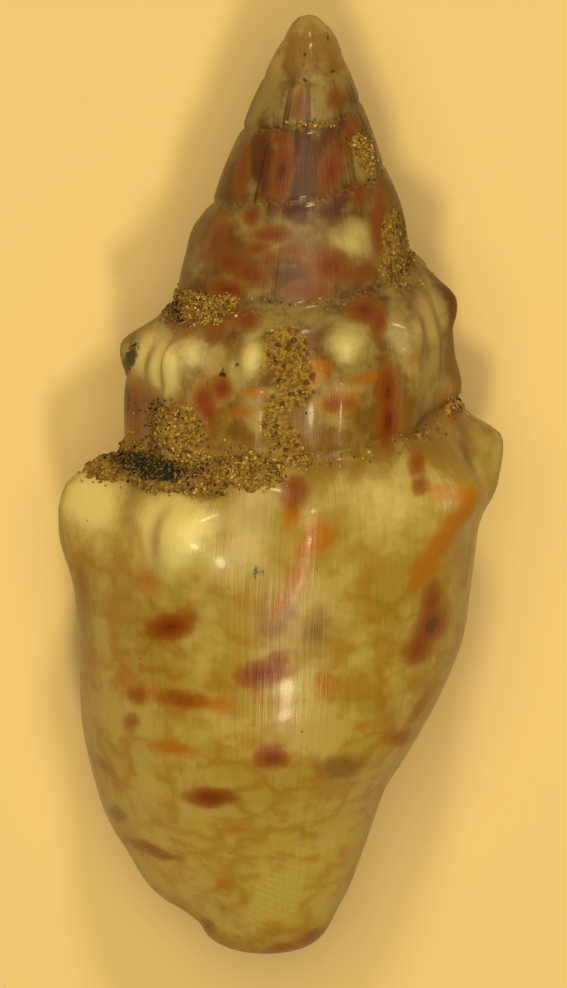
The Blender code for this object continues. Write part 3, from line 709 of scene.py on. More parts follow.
class SpiralLaw:
    """Trees that work out the radius of the shell's surface, and where a point of it lies."""

    LIP_TURNS = 0.03
    LIP_ROUNDING = 0.14
    LIP_SWELL = 0.07
    LIP_SWELL_TURNS = 0.05
    LIP_RELIEF_SHARE = 0.5

    def __init__(self, sizes: SpiralSizes, nodes: NodeSizes, rest: RestPose) -> None:
        """Build the trees.

        Args:
            sizes: Sizes of the spiral.
            nodes: Shape of the shoulder nodes.
            rest: How the shell lies.
        """
        self.sizes = sizes
        self.nodes = nodes
        self.rest = rest
        self.growth = {"Growth rate": sizes.growth_rate, "Height scale": sizes.height_scale}
        self.driving = {**self.growth, "Node height": nodes.height}
        self.swelling_tree = self._swelling_tree()
        self.suture_tree = self._suture_tree()
        self.relief_tree = self._relief_tree()
        self.whorl_tree = self._whorl_tree()
        self.radius_tree = self._radius_tree()
        self.place_tree = self._place_tree()

    def _suture_tree(self) -> GeometryTree:
        """Tree of a suture's distance from the apex and of the whorl's height below it."""
        sizes = self.sizes
        tree = GeometryTree("suture", {"Turn": 0.0, **self.growth}, {"Suture": "Float", "Drop": "Float"})
        turn = tree.size("Turn")
        heights = []
        for at in (turn, turn + 1.0):
            lean = ((at - sizes.lean_turn) * FULL_TURN).apply("COSINE") * sizes.lean
            lean = lean * at.smooth(*sizes.lean_range)
            grown = (tree.size("Growth rate") * (at - sizes.turn_start)).apply("EXPONENT") - 1.0
            heights.append(tree.size("Height scale") * grown - lean)
        tree.give("Suture", heights[0])
        tree.give("Drop", heights[1] - heights[0])
        return tree

    def _crown(self, tree: GeometryTree, turn: Field, row: NodeRow) -> Field:
        """Add up the bells of the two nodes of a row that are nearest to a turn.

        Args:
            tree: Tree to add to.
            turn: Where the row is read.
            row: Row of nodes.

        Returns:
            How far up a node the turn lies, from 0 in the valleys to about 1 on the crest.
        """
        position = (row.last_turn - turn) / row.spacing
        crown = tree.number(0.0)
        for offset in (0, 1):
            number = position.apply("FLOOR") + float(offset)
            share = tree.math("COMPARE", number.between(0.0, row.count - 1.0), number, 0.5)
            centre = row.last_turn - number * row.spacing
            for odd, odd_share, shift in row.odd:
                here = tree.math("COMPARE", number, float(odd), 0.5)
                share = share + here * (odd_share - 1.0)
                centre = centre + here * shift
            away = (turn - centre) / row.spacing
            behind = away.apply("SIGN") * 0.5 + 0.5
            side = tree.blend(behind, self.nodes.sloped_side, tree.number(self.nodes.steep_side))
            crown = crown + share * (away / side).bump()
        return crown

    def _relief_tree(self) -> GeometryTree:
        """Tree of the height of the nodes and ribs at a share of the way down a whorl."""
        nodes = self.nodes
        tree = GeometryTree("node_relief", {"Turn": 0.0, "Share": 0.0, "Node height": nodes.height},
                            {"Relief": "Float"})
        turn, share = tree.size("Turn"), tree.size("Share")
        strength = tree.size("Node height") * ((turn - nodes.growth_turn) * nodes.growth).apply("EXPONENT")
        strength = strength * turn.smooth(*nodes.full_from)
        below = share.smooth(nodes.centre - 0.001, nodes.centre + 0.001)
        reach = tree.blend(below, nodes.reach_up, tree.number(nodes.reach_down))
        node = ((share - nodes.centre) / reach).bump()
        flat = (share - nodes.rib_centre) / nodes.rib_reach
        rib = (flat * flat).bump() * nodes.rib * (1.0 - turn.smooth(*nodes.ribs_until))
        rib = rib * share.smooth(0.0, nodes.centre)
        crown = self._crown(tree, turn, nodes.rows[0]) + self._crown(tree, turn, nodes.rows[1])
        tree.give("Relief", strength * crown * tree.math("MAXIMUM", node, rib))
        return tree

    def _whorl_tree(self) -> GeometryTree:
        """Tree of a whorl's radius with its nodes, without the lip and the neck."""
        sizes = self.sizes
        tree = GeometryTree("whorl_radius", {"Turn": 0.0, "Height": 0.0, **self.driving},
                            {"Radius": "Float", "Share": "Float"})
        turn, height = tree.size("Turn"), tree.size("Height")
        law = {name: tree.size(name) for name in self.growth}
        suture = tree.call(self.suture_tree, {"Turn": turn, **law})
        share = (height - Field(tree, suture.outputs["Suture"])) / Field(tree, suture.outputs["Drop"])
        widest = tree.curve(sizes.radii, turn)
        taper = (1.0 - turn.smooth(*sizes.early_taper_turns)) * sizes.early_taper + 1.0
        read_at = share.between(-1.0, 1.0) + (share - 1.0).between(0.0, FAR) * taper
        stepped = widest * tree.curve(sizes.outline, read_at)
        foot = sizes.outline[5][1]
        height_in = {"Node height": tree.size("Node height")}
        above = tree.ask(self.relief_tree, {"Turn": turn - 1.0, "Share": 1.0, **height_in})
        top = tree.curve(sizes.radii, turn - 1.0) * foot + above
        apex = self._apex_radius(tree, turn, law)
        top = tree.blend(turn.smooth(-0.001, 0.001), apex, top)
        fit = (1.0 - share / sizes.top_fit).between(0.0, FAR)
        stepped = stepped + (top - widest * sizes.outline[0][1]) * fit * fit
        dome = turn.smooth(sizes.turn_start, sizes.dome_turn)
        inside = share.between(0.0, 1.0)
        sweep = inside ** (dome * (1.0 - sizes.dome_power) + sizes.dome_power)
        flat = top + (widest * foot - top) * sweep
        flat = flat + widest * (inside * math.pi).apply("SINE") * sizes.flat_bulge
        radius = tree.blend(turn.smooth(*sizes.stepped), flat, stepped)
        relief = tree.ask(self.relief_tree, {"Turn": turn, "Share": share, **height_in})
        lifted = relief * share.smooth(0.0, self.nodes.centre)
        tree.give("Radius", radius + lifted)
        tree.give("Share", share)
        return tree

    def _apex_radius(self, tree: GeometryTree, turn: Field, law: dict) -> Field:
        """Radius of the dome of the apex along the first turn of the suture.

        Args:
            tree: Tree to add to.
            turn: Turn on the suture.
            law: Growth inputs of the suture.

        Returns:
            The dome's radius at the suture's height.
        """
        sizes = self.sizes
        at = tree.ask(self.suture_tree, {"Turn": turn.between(sizes.turn_start, 0.0), **law})
        end = tree.ask(self.suture_tree, {"Turn": 0.0, **law})
        down = (at / end).between(0.0, 1.0)
        first = sizes.radii[0][1]
        round_part = down ** sizes.dome_power * (first * sizes.outline[5][1])
        return round_part + (down * math.pi).apply("SINE") * (first * sizes.flat_bulge)

    def _radius_tree(self) -> GeometryTree:
        """Tree of the radius of the outer surface at a height, for the whorl that a turn lies on."""
        sizes = self.sizes
        tree = GeometryTree("shell_radius", {"Turn": 0.0, "Height": 0.0, **self.driving},
                            {"Radius": "Float", "Seam": "Float"})
        turn, height = tree.size("Turn"), tree.size("Height")
        law = {name: tree.size(name) for name in self.driving}
        own = tree.call(self.whorl_tree, {"Turn": turn, "Height": height, **law})
        last = tree.call(self.whorl_tree, {"Turn": sizes.base_last_turn, "Height": height, **law})
        radius, share = Field(tree, own.outputs["Radius"]), Field(tree, own.outputs["Share"])
        held = tree.math("MINIMUM", radius, Field(tree, last.outputs["Radius"]))
        past = turn.smooth(sizes.base_last_turn - 0.0001, sizes.base_last_turn + 0.0001)
        radius = radius + (held - radius) * height.smooth(*sizes.base_last_heights) * past
        radius = radius + self._lip_relief(tree, turn) * share.smooth(0.0, self.LIP_RELIEF_SHARE)
        pillar = self._pillar_radius(tree, turn, height)
        blend = (1.0 - height.smooth(*sizes.neck_blend_ends)) * sizes.neck_blend
        apart = radius - pillar
        joined = (radius + pillar + (apart * apart + blend * blend).apply("SQRT")) * 0.5
        on_base = share.smooth(1.0, sizes.neck_join) * turn.smooth(*sizes.neck_turns)
        radius = tree.blend(on_base, radius, joined)
        angle = (sizes.lip_side_turn - turn) + sizes.lip_side_angle / 360.0
        for rise in SWELLINGS:
            radius = tree.ask(self.swelling_tree, {
                "Radius": radius, "Angle": angle, "Height": height, "At angle": rise.angle / 360.0,
                "At height": rise.height, "Angle reach": rise.angle_reach / 360.0,
                "Height reach": rise.height_reach, "Amount": rise.amount})
        low_side = share.smooth(0.499, 0.501)
        drop = tree.ask(self.suture_tree, {"Turn": turn}, "Drop")
        off = tree.blend(low_side, share, 1.0 - share) * drop / sizes.groove_reach
        suture_turn = turn + low_side
        seam = off.bump() * suture_turn.smooth(*sizes.groove_turns)
        seam = seam * (1.0 - suture_turn.smooth(*sizes.groove_ends))
        radius = radius - seam * sizes.groove_depth
        tree.give("Seam", seam)
        to_tip = ((height - sizes.tip_from) / (sizes.length - sizes.tip_from)).between(0.0, 1.0)
        closing = (1.0 - to_tip ** sizes.tip_power).between(0.0, 1.0).apply("SQRT")
        tree.give("Radius", radius * closing)
        return tree

    @staticmethod
    def _swelling_tree() -> GeometryTree:
        """Tree that raises a radius by one low rise of the surface."""
        labels = ("Radius", "Angle", "Height", "At angle", "At height", "Amount")
        inputs = {**dict.fromkeys(labels, 0.0), "Angle reach": 1.0, "Height reach": 1.0}
        tree = GeometryTree("swelling", inputs, {"Radius": "Float"})
        away = tree.size("Angle") - tree.size("At angle")
        away = (away - (away + 0.5).apply("FLOOR")) / tree.size("Angle reach")
        down = (tree.size("Height") - tree.size("At height")) / tree.size("Height reach")
        rise = (-(away * away + down * down)).apply("EXPONENT") * tree.size("Amount")
        tree.give("Radius", tree.size("Radius") + rise)
        return tree

    def _lip_relief(self, tree: GeometryTree, turn: Field) -> Field:
        """Swelling behind the outer lip and the rounding of its edge.

        Args:
            tree: Tree to add to.
            turn: Turn on the last whorl.

        Returns:
            What they add to the radius.
        """
        end = self.sizes.turn_end
        swell = ((turn - (end - self.LIP_SWELL_TURNS)) / self.LIP_SWELL_TURNS).bump() * self.LIP_SWELL
        edge = ((turn - (end - self.LIP_TURNS)) / self.LIP_TURNS).between(0.0, 1.0)
        return swell - edge ** 3.0 * self.LIP_ROUNDING

    def _pillar_radius(self, tree: GeometryTree, turn: Field, height: Field) -> Field:
        """Radius of the columella where the aperture shows it, and of the neck further round.

        Args:
            tree: Tree to add to.
            turn: Turn on the last whorl.
            height: Height from the apex.

        Returns:
            The radius.
        """
        sizes = self.sizes
        columella = tree.curve(sizes.columella, height)
        away = (turn - sizes.back_fullness_turn) / sizes.back_fullness_reach
        ending = height.smooth(sizes.back_fullness_until, sizes.length)
        fuller = away.bump() * sizes.back_fullness * (1.0 - ending)
        neck = tree.curve(sizes.neck, height) * (fuller + 1.0)
        out = (turn - (sizes.turn_end - 1.0)).smooth(0.0, sizes.columella_turns)
        return tree.blend(out, columella, neck)

    def _place_tree(self) -> GeometryTree:
        """Tree that turns a turn, a height and a radius into a place where the shell lies."""
        sizes, rest = self.sizes, self.rest
        tree = GeometryTree("shell_place", {"Turn": 0.0, "Height": 0.0, "Radius": 0.0}, {"Place": "Vector"})
        height, radius = tree.size("Height"), tree.size("Radius")
        turned = (sizes.lip_side_turn - tree.size("Turn")) * FULL_TURN
        angle = turned + math.radians(sizes.lip_side_angle)
        past = (height - sizes.front_bend_from).between(0.0, FAR) / (sizes.length - sizes.front_bend_from)
        x = radius * angle.apply("SINE") - past * past * sizes.front_bend
        own = tree.combine(x, rest.centre - height, radius * angle.apply("COSINE"))
        laid = tree.node("ShaderNodeVectorRotate", {"rotation_type": "EULER_XYZ"},
                         {"Vector": own, "Rotation": rest.turned})
        lifted = tree.vector("ADD", laid.outputs[0], rest.moved)
        on_floor = tree.vector("MAXIMUM", lifted, (-FAR, -FAR, 0.0))
        on_floor = tree.vector("MINIMUM", on_floor, (FAR, rest.apex_limit, FAR))
        tree.give("Place", tree.vector("MULTIPLY", on_floor, (MM, MM, MM)))
        return tree


@dataclass(frozen=True)
class ApertureSizes:
    """Sizes of the aperture, the hollow behind it and the canal."""

    wall: float = 0.32
    thickening: float = 0.26
    thick_turns: float = 0.07
    thick_heights: tuple[float, float] = (7.2, 9.0)
    thin_heights: tuple[float, float] = (11.5, 13.5)
    flare: float = 0.13
    flare_turns: float = 0.012
    callus: float = 0.07
    callus_turns: float = 0.04
    least_gap: float = 0.12
    top: float = 0.16
    bottom: float = 1.91
    canal_reach: float = 0.36
    canal_turns: float = 0.12
    notch_turns: float = 0.15
    notch_heights: tuple[float, float] = (12.4, 13.6)
    rounded_top: float = 0.07
    rounded_bottom: float = 0.985
    teeth: int = 7
    tooth_height: float = 0.13
    tooth_turns: float = 0.03
    tooth_span: tuple[float, float] = (8.1, 12.3)
    rim_rows: int = 4
    rim_bulge: float = 0.004
    depth_turns: float = 1.0


class Markings:
    """Trees of the patches on the upper side of the shell."""

    TABLES = {Kept.BROWN: BROWN, Kept.ORANGE: ORANGE, Kept.PURPLE: PURPLE, Kept.WHITE: WHITE,
              Kept.CRUST: CRUST, Kept.POROUS: POROUS, Kept.SOOT: SOOT}
    UPPER_SIDE = (1.5, 2.2)

    def __init__(self) -> None:
        """Build a tree for one patch, and a tree for each table of patches."""
        self.blotch_tree = self._blotch_tree()
        self.trees = {name: self._table_tree(name, table) for name, table in self.TABLES.items()}

    @staticmethod
    def _blotch_tree() -> GeometryTree:
        """Tree of a patch that is 1 in its middle, joined to the patches so far."""
        inputs = {**dict.fromkeys(("So far", "X", "Y", "At x", "At y", "Lean"), 0.0),
                  **dict.fromkeys(("Reach x", "Reach y", "Strength"), 1.0)}
        tree = GeometryTree("blotch", inputs, {"Field": "Float"})
        down = tree.size("Y") - tree.size("At y")
        across = (tree.size("X") - tree.size("At x") - down * tree.size("Lean")) / tree.size("Reach x")
        down = down / tree.size("Reach y")
        here = (-(across * across + down * down)).apply("EXPONENT") * tree.size("Strength")
        tree.give("Field", tree.math("MAXIMUM", tree.size("So far"), here))
        return tree

    def _table_tree(self, name: Kept, table: tuple[Blotch, ...]) -> GeometryTree:
        """Tree of all patches of a table, at the place of each vertex.

        Args:
            name: Name of the table.
            table: Its patches.

        Returns:
            A tree whose output is about 1 inside the patches, and 0 away from them.
        """
        tree = GeometryTree(name.value + "_patches", {}, {"Field": "Float"})
        parts = tree.node("ShaderNodeSeparateXYZ", None, {0: tree.place()})
        x, y, z = (Field(tree, output) for output in parts.outputs)
        total = tree.number(0.0)
        for blotch in table:
            total = tree.ask(self.blotch_tree, {
                "So far": total, "X": x, "Y": y, "At x": blotch.x, "At y": blotch.y,
                "Reach x": blotch.reach_x, "Reach y": blotch.reach_y, "Lean": blotch.lean,
                "Strength": blotch.strength})
        tree.give("Field", total * z.smooth(*self.UPPER_SIDE))
        return tree

    def keep(self, tree: GeometryTree, mesh: Socket) -> Socket:
        """Keep every table's field on a mesh."""
        for name in self.TABLES:
            mesh = tree.store(mesh, name, tree.ask(self.trees[name], {}))
        return mesh


@dataclass
class Shell:
    """The shell: apex, whorls, base, lip, and the hollow behind the aperture, as one closed mesh."""

    law: SpiralLaw
    aperture: ApertureSizes
    markings: Markings
    finish: bpy.types.Material
    columns_per_turn: int = 200
    whorl_rows: int = 28
    base_rows: int = 90
    cavity_rows: int = 44
    weld: float = 1.0e-7

    def make(self) -> bpy.types.Object:
        """Run the shell's tree.

        Returns:
            The shell as a plain mesh.
        """
        inputs = {**self.law.driving, "Columns per turn": self.columns_per_turn,
                  "Whorl rows": self.whorl_rows, "Base rows": self.base_rows, "Cavity rows": self.cavity_rows}
        tree = GeometryTree("shell", inputs, {"Mesh": "Geometry"})
        self.tree = tree
        self.driving = {name: tree.size(name) for name in self.law.driving}
        outside = tree.join(self._apex(), self._whorls(), self._base())
        whole = tree.weld(tree.join(outside, self._inside()), self.weld)
        whole = self.markings.keep(tree, whole)
        tree.finish(whole, self.finish)
        piece = tree.make("shell_form")
        piece.data.shade_smooth()
        return piece

    def _suture(self, turn: Field) -> tuple[Field, Field]:
        """Suture's height at a turn, and the height of the whorl below it."""
        law = {name: self.driving[name] for name in self.law.growth}
        node = self.tree.call(self.law.suture_tree, {"Turn": turn, **law})
        return Field(self.tree, node.outputs["Suture"]), Field(self.tree, node.outputs["Drop"])

    def _radius(self, turn: Field, height: Field) -> Field:
        """Radius of the outer surface."""
        return self.tree.ask(self.law.radius_tree, {"Turn": turn, "Height": height, **self.driving}, "Radius")

    def _surface(self, mesh: Socket, turn: Field, height: Field) -> Socket:
        """Move a grid to the outer surface, and keep how near each vertex is to a suture."""
        node = self.tree.call(self.law.radius_tree, {"Turn": turn, "Height": height, **self.driving})
        mesh = self.tree.store(mesh, Kept.SEAM, Field(self.tree, node.outputs["Seam"]))
        return self._place(mesh, turn, height, Field(self.tree, node.outputs["Radius"]))

    def _place(self, mesh: Socket, turn: Field, height: Field, radius: Field) -> Socket:
        """Move a grid to where its turns, heights and radii say."""
        node = self.tree.call(self.law.place_tree, {"Turn": turn, "Height": height, "Radius": radius})
        return self.tree.move(mesh, node.outputs["Place"])

    def _apex(self) -> Socket:
        """Dome inside the first turn of the suture."""
        tree, sizes = self.tree, self.law.sizes
        mesh, along, down = tree.grid(tree.size("Columns per turn"), tree.size("Whorl rows"))
        turn = along + sizes.turn_start
        first, _ = self._suture(turn)
        height = first * down
        end, _ = self._suture(tree.number(0.0))
        share = height / end
        foot = sizes.radii[0][1]
        radius = share ** sizes.dome_power * (foot * sizes.outline[5][1])
        radius = radius + (share * math.pi).apply("SINE") * (foot * sizes.flat_bulge)
        return self._place(mesh, turn, height, radius)

    def _whorls(self) -> Socket:
        """Strip of all whorls from suture to suture."""
        tree, sizes = self.tree, self.law.sizes
        turns = sizes.turn_end - sizes.turn_start
        columns = tree.size("Columns per turn") * turns
        mesh, along, down = tree.grid(columns, tree.size("Whorl rows"))
        turn = along * turns + sizes.turn_start
        suture, drop = self._suture(turn)
        height = suture + drop * down
        return self._surface(mesh, turn, height)

    def _base_height(self, nominal: Field, down: Field) -> Field:
        """Height of a row of the base, closer together towards the front end."""
        low, _ = self._suture(nominal + 1.0)
        eased = 1.0 - (1.0 - down) ** 1.5
        return low + (self.law.sizes.length - low) * eased

    def _notch(self, height: Field) -> Field:
        """How many turns the lip draws back where the canal opens."""
        return height.smooth(*self.aperture.notch_heights) * self.aperture.notch_turns

    def _base(self) -> Socket:
        """Base of the last whorl, down to the front end."""
        tree, sizes = self.tree, self.law.sizes
        mesh, along, down = tree.grid(tree.size("Columns per turn"), tree.size("Base rows"))
        nominal = along + (sizes.turn_end - 1.0)
        height = self._base_height(nominal, down)
        turn = nominal - self._notch(height) * along
        return self._surface(mesh, turn, height)

    def _inside(self) -> Socket:
        """Rim of the aperture and the hollow behind it, as one tube that closes at its end."""
        tree, sizes, hole = self.tree, self.law.sizes, self.aperture
        whorl, base = tree.size("Whorl rows"), tree.size("Base rows")
        around = whorl + base * 2.0
        mesh, along, down = tree.grid(around, tree.size("Cavity rows"))
        mesh = tree.node("GeometryNodeFlipFaces", None, {"Mesh": mesh}).outputs[0]
        index = (along * around + 0.5).apply("FLOOR")
        row = (down * tree.size("Cavity rows") + 0.5).apply("FLOOR")
        inner = tree.math("GREATER_THAN", index, whorl + base + 0.5)
        on_base = tree.math("GREATER_THAN", index, whorl + 0.5)
        end = tree.number(sizes.turn_end)
        suture, drop = self._suture(end)
        strip_height = suture + drop * index / whorl
        base_share = tree.blend(inner, (index - whorl) / base, (whorl + base * 2.0 - index) / base)
        base_height = self._base_height(end - inner, base_share.between(0.0, 1.0))
        edge_height = tree.blend(on_base, strip_height, base_height)
        notch = self._notch(edge_height)
        edge_turn = end - notch * (1.0 - inner)
        edge_radius = self._radius(edge_turn - inner, edge_height)
        rim = (row / float(hole.rim_rows)).between(0.0, 1.0)
        behind = row - float(hole.rim_rows)
        deep = (behind / (tree.size("Cavity rows") - float(hole.rim_rows))).between(0.0, 1.0)
        depth = deep ** 1.6 * hole.depth_turns
        share = (edge_height - suture) / (sizes.length - suture)
        drawn_back = notch * tree.blend(inner, 1.0, rim) * (1.0 - deep.smooth(0.5, 0.95))
        turn = end - drawn_back - depth
        height, radius = self._cavity(turn, end - depth, depth, share, inner, deep)
        bulge = rim * (1.0 - rim) * (1.0 - inner) * (4.0 * hole.rim_bulge)
        bulge = bulge * share.smooth(0.0, 0.03) * (1.0 - share.smooth(0.97, 1.0))
        turn = turn + bulge
        height = tree.blend(rim, edge_height, height)
        radius = tree.blend(rim, edge_radius, radius)
        mesh = tree.store(mesh, Kept.INSIDE, rim)
        return self._place(mesh, turn, height, radius)

    def _cavity(self, turn: Field, loop_turn: Field, depth: Field, share: Field, inner: Field,
                deep: Field) -> tuple[Field, Field]:
        """Wall of the hollow at a depth behind the lip.

        Args:
            turn: Turn of the point.
            loop_turn: Turn of its loop.
            depth: Turns behind the lip.
            share: Share of the way down the aperture.
            inner: 1 on the side of the columella and 0 on the side of the lip.
            deep: Share of the way to the closed end.

        Returns:
            Height and radius of the point.
        """
        tree, sizes, hole = self.tree, self.law.sizes, self.aperture
        suture, drop = self._suture(loop_turn)
        top = suture + drop * hole.top
        bottom = suture + drop * hole.bottom
        bottom = bottom + (depth / hole.canal_turns).bump() * hole.canal_reach
        height = top + (bottom - top) * share
        callus = depth.smooth(0.0, hole.callus_turns) * hole.callus
        inside = self._radius(turn - 1.0, height) + callus
        middle = height.over(hole.thick_heights, hole.thin_heights)
        wall = (depth / hole.thick_turns).bump() * hole.thickening * middle + hole.wall
        wall = wall - (depth / hole.flare_turns).bump() * hole.flare
        low, high = hole.tooth_span
        wave = ((height - low) * (math.pi * hole.teeth / (high - low))).apply("SINE")
        spanned = height.over((low - 0.01, low + 0.01), (high - 0.01, high + 0.01))
        row = ((depth - hole.tooth_turns) / hole.tooth_turns).bump()
        tooth = wave * wave * spanned * row * hole.tooth_height
        outside = self._radius(tree.math("MINIMUM", turn, sizes.turn_end - SpiralLaw.LIP_TURNS), height)
        outer = tree.math("MAXIMUM", outside - wall - tooth, inside + hole.least_gap)
        from_top = 1.0 - (share / hole.rounded_top).between(0.0, 1.0)
        from_end = ((share - hole.rounded_bottom) / (1.0 - hole.rounded_bottom)).between(0.0, 1.0)
        rounded = (1.0 - from_top * from_top).apply("SQRT")
        rounded = rounded * (1.0 - from_end * from_end).between(0.0, 1.0).apply("SQRT")
        radius = tree.blend(inner, inside + (outer - inside) * rounded, inside)
        close = deep.smooth(0.96, 0.999)
        middle_height = tree.blend(close, height, (top + bottom) * 0.5)
        centre = self._radius(turn - 1.0, (top + bottom) * 0.5) + hole.callus * 2.0
        return middle_height, tree.blend(close, radius, centre)


@dataclass(frozen=True)
class CrustPatch:
    """A part of the surface where sediment lies, in turns and in millimetres below a suture."""

    turns: tuple[float, float]
    below: tuple[float, float]
    thickness: float
    columns: int
    rows: int


@dataclass
class Sediment:
    """Sediment that is baked on the shell: crust over the sutures, and grains on and around it."""

    law: SpiralLaw
    markings: Markings
    patches: tuple[CrustPatch, ...] = (
        CrustPatch((4.46, 5.06), (-1.0, 0.5), 0.1, 400, 66),
        CrustPatch((3.44, 4.05), (-0.3, 0.36), 0.05, 260, 28),
        CrustPatch((3.69, 3.81), (0.3, 2.0), 0.02, 60, 90),
        CrustPatch((2.52, 2.63), (0.3, 1.5), 0.02, 50, 60),
        CrustPatch((1.52, 1.66), (0.2, 1.05), 0.03, 40, 44),
        CrustPatch((1.66, 1.82), (-0.15, 0.15), 0.02, 50, 16),
        CrustPatch((1.95, 2.05), (-0.32, 0.12), 0.1, 24, 24),
    )
    sink: float = 0.03
    weld: float = 1.0e-8
    solid_from: tuple[float, float] = (0.2, 0.7)
    grain_radius: float = 0.026
    grains_per_mm2: float = 520.0
    stray_per_mm2: float = 70.0
    seed: int = 7

    def __post_init__(self) -> None:
        """Build the tree of the sheets that both pieces start from."""
        self.sheet_tree = self._sheet_tree()

    def _sheet_tree(self) -> GeometryTree:
        """Tree of thin sheets on the shell's surface, with the fields of the sediment."""
        tree = GeometryTree("sediment_sheets", {}, {"Mesh": "Geometry"})
        tree.give("Mesh", tree.join(*[self._sheet(tree, patch) for patch in self.patches]))
        return tree

    def _sheet(self, tree: GeometryTree, patch: CrustPatch) -> Socket:
        """Sheet of one patch.

        Args:
            tree: Tree to add to.
            patch: The patch.

        Returns:
            The sheet, with how solid its crust is kept on it.
        """
        mesh, along, down = tree.grid(patch.columns, patch.rows)
        turn = tree.blend(along, patch.turns[0], tree.number(patch.turns[1]))
        below = tree.blend(down, patch.below[0], tree.number(patch.below[1]))
        suture = tree.ask(self.law.suture_tree, {"Turn": turn}, "Suture")
        above = tree.math("LESS_THAN", below, 0.0)
        height = suture + below
        radius = tree.ask(self.law.radius_tree, {"Turn": turn - above, "Height": height}, "Radius")
        fade = tree.math("MINIMUM", along.over((0.0, 0.06), (0.94, 1.0)), down.over((0.0, 0.1), (0.9, 1.0)))
        mesh = tree.store(mesh, Kept.FADE, fade)
        place = tree.call(self.law.place_tree, {"Turn": turn, "Height": height, "Radius": radius})
        mesh = tree.move(mesh, place.outputs["Place"])
        mesh = self.markings.keep(tree, mesh)
        cover = tree.math("MAXIMUM", tree.read(Kept.CRUST), tree.read(Kept.POROUS) * 0.35)
        mesh = tree.store(mesh, Kept.COVER, cover * tree.read(Kept.FADE))
        ragged = tree.read(Kept.CRUST) * tree.read(Kept.FADE)
        ragged = (ragged + (tree.noise(tree.place(), 3.6, 4.0, 0.7) - 0.5) * 1.3) * ragged.smooth(0.02, 0.2)
        solid = (ragged.smooth(*self.solid_from) - 0.012).between(0.0, 1.0)
        mesh = tree.store(mesh, Kept.SOLID, solid)
        return tree.store(mesh, Kept.THICK, tree.number(patch.thickness))

    @staticmethod
    def _along_normal(tree: GeometryTree, mesh: Socket, amount: Field) -> Socket:
        """Move each vertex along its normal by an amount in millimetres."""
        normal = tree.node("GeometryNodeInputNormal").outputs[0]
        amount = amount * MM
        offset = tree.vector("MULTIPLY", normal, tree.combine(amount, amount, amount))
        return tree.node("GeometryNodeSetPosition", None, {"Geometry": mesh, "Offset": offset}).outputs[0]

    def _slabs(self, tree: GeometryTree) -> tuple[Socket, Socket]:
        """Upper and lower faces of the crust, where it is solid at all."""
        sheet = tree.call(self.sheet_tree, {}).outputs["Mesh"]
        place = tree.place()
        pits = tree.cells(place, 8.0, randomness=0.8)
        pit = (1.0 - pits.smooth(0.18, 0.36)) * tree.read(Kept.POROUS).smooth(0.2, 0.5)
        sheet = tree.store(sheet, Kept.PIT, pit)
        empty = tree.math("LESS_THAN", tree.read(Kept.SOLID), 1.0e-9)
        sheet = tree.node("GeometryNodeDeleteGeometry", {"domain": "FACE"},
                          {"Geometry": sheet, "Selection": empty}).outputs[0]
        lumps = tree.noise(place, 4.5, 3.0, 0.6)
        fine = tree.noise(place, 15.0, 3.0, 0.75)
        rise = tree.read(Kept.THICK) * ((lumps - 0.3) * 2.0 + 0.35) + (fine - 0.5) * 0.07
        rise = rise - tree.read(Kept.PIT) * 0.07
        solid = tree.read(Kept.SOLID)
        upper = self._along_normal(tree, sheet, solid * (rise + self.sink) - self.sink)
        lower = self._along_normal(tree, sheet, solid * -0.03 - self.sink)
        return upper, tree.node("GeometryNodeFlipFaces", None, {"Mesh": lower}).outputs[0]

    def make_crust(self, finish: bpy.types.Material) -> bpy.types.Object:
        """Make the slabs of crust as one plain mesh.

        Args:
            finish: Their material.

        Returns:
            The piece.
        """
        tree = GeometryTree("sediment_crust", {}, {"Mesh": "Geometry"})
        tree.finish(tree.weld(tree.join(*self._slabs(tree)), self.weld), finish)
        piece = tree.make("sediment_crust")
        piece.data.shade_smooth()
        return piece

    def _scatter(self, tree: GeometryTree, mesh: Socket, density: Field, seed: int) -> Socket:
        """Scatter grains on a mesh.

        Args:
            tree: Tree to add to.
            mesh: Mesh to scatter on.
            density: Grains for each square millimetre.
            seed: Seed of the scatter.

        Returns:
            The grains as instances, with a tone for each.
        """
        points = tree.node("GeometryNodeDistributePointsOnFaces", None,
                           {"Mesh": mesh, "Density": density / (MM * MM), "Seed": seed})
        tone = tree.field("FunctionNodeRandomValue", {"data_type": "FLOAT"},
                          {"Min": 0.0, "Max": 1.0, "Seed": seed}, "Value")
        marked = tree.store(points.outputs["Points"], Kept.TONE, tone)
        inputs = {"Radius": self.grain_radius * MM, "Subdivisions": 1}
        grain = tree.node("GeometryNodeMeshIcoSphere", None, inputs)
        turned = tree.node("FunctionNodeRandomValue", {"data_type": "FLOAT_VECTOR"},
                           {"Min": (0.0, 0.0, 0.0), "Max": (6.28, 6.28, 6.28), "Seed": seed + 1})
        sized = tree.node("FunctionNodeRandomValue", {"data_type": "FLOAT_VECTOR"},
                          {"Min": (0.45, 0.45, 0.4), "Max": (1.5, 1.2, 0.9), "Seed": seed + 2})
        return tree.node("GeometryNodeInstanceOnPoints", None, {
            "Points": marked, "Instance": grain.outputs["Mesh"], "Rotation": pick(turned.outputs, "Value"),
            "Scale": pick(sized.outputs, "Value")}).outputs[0]

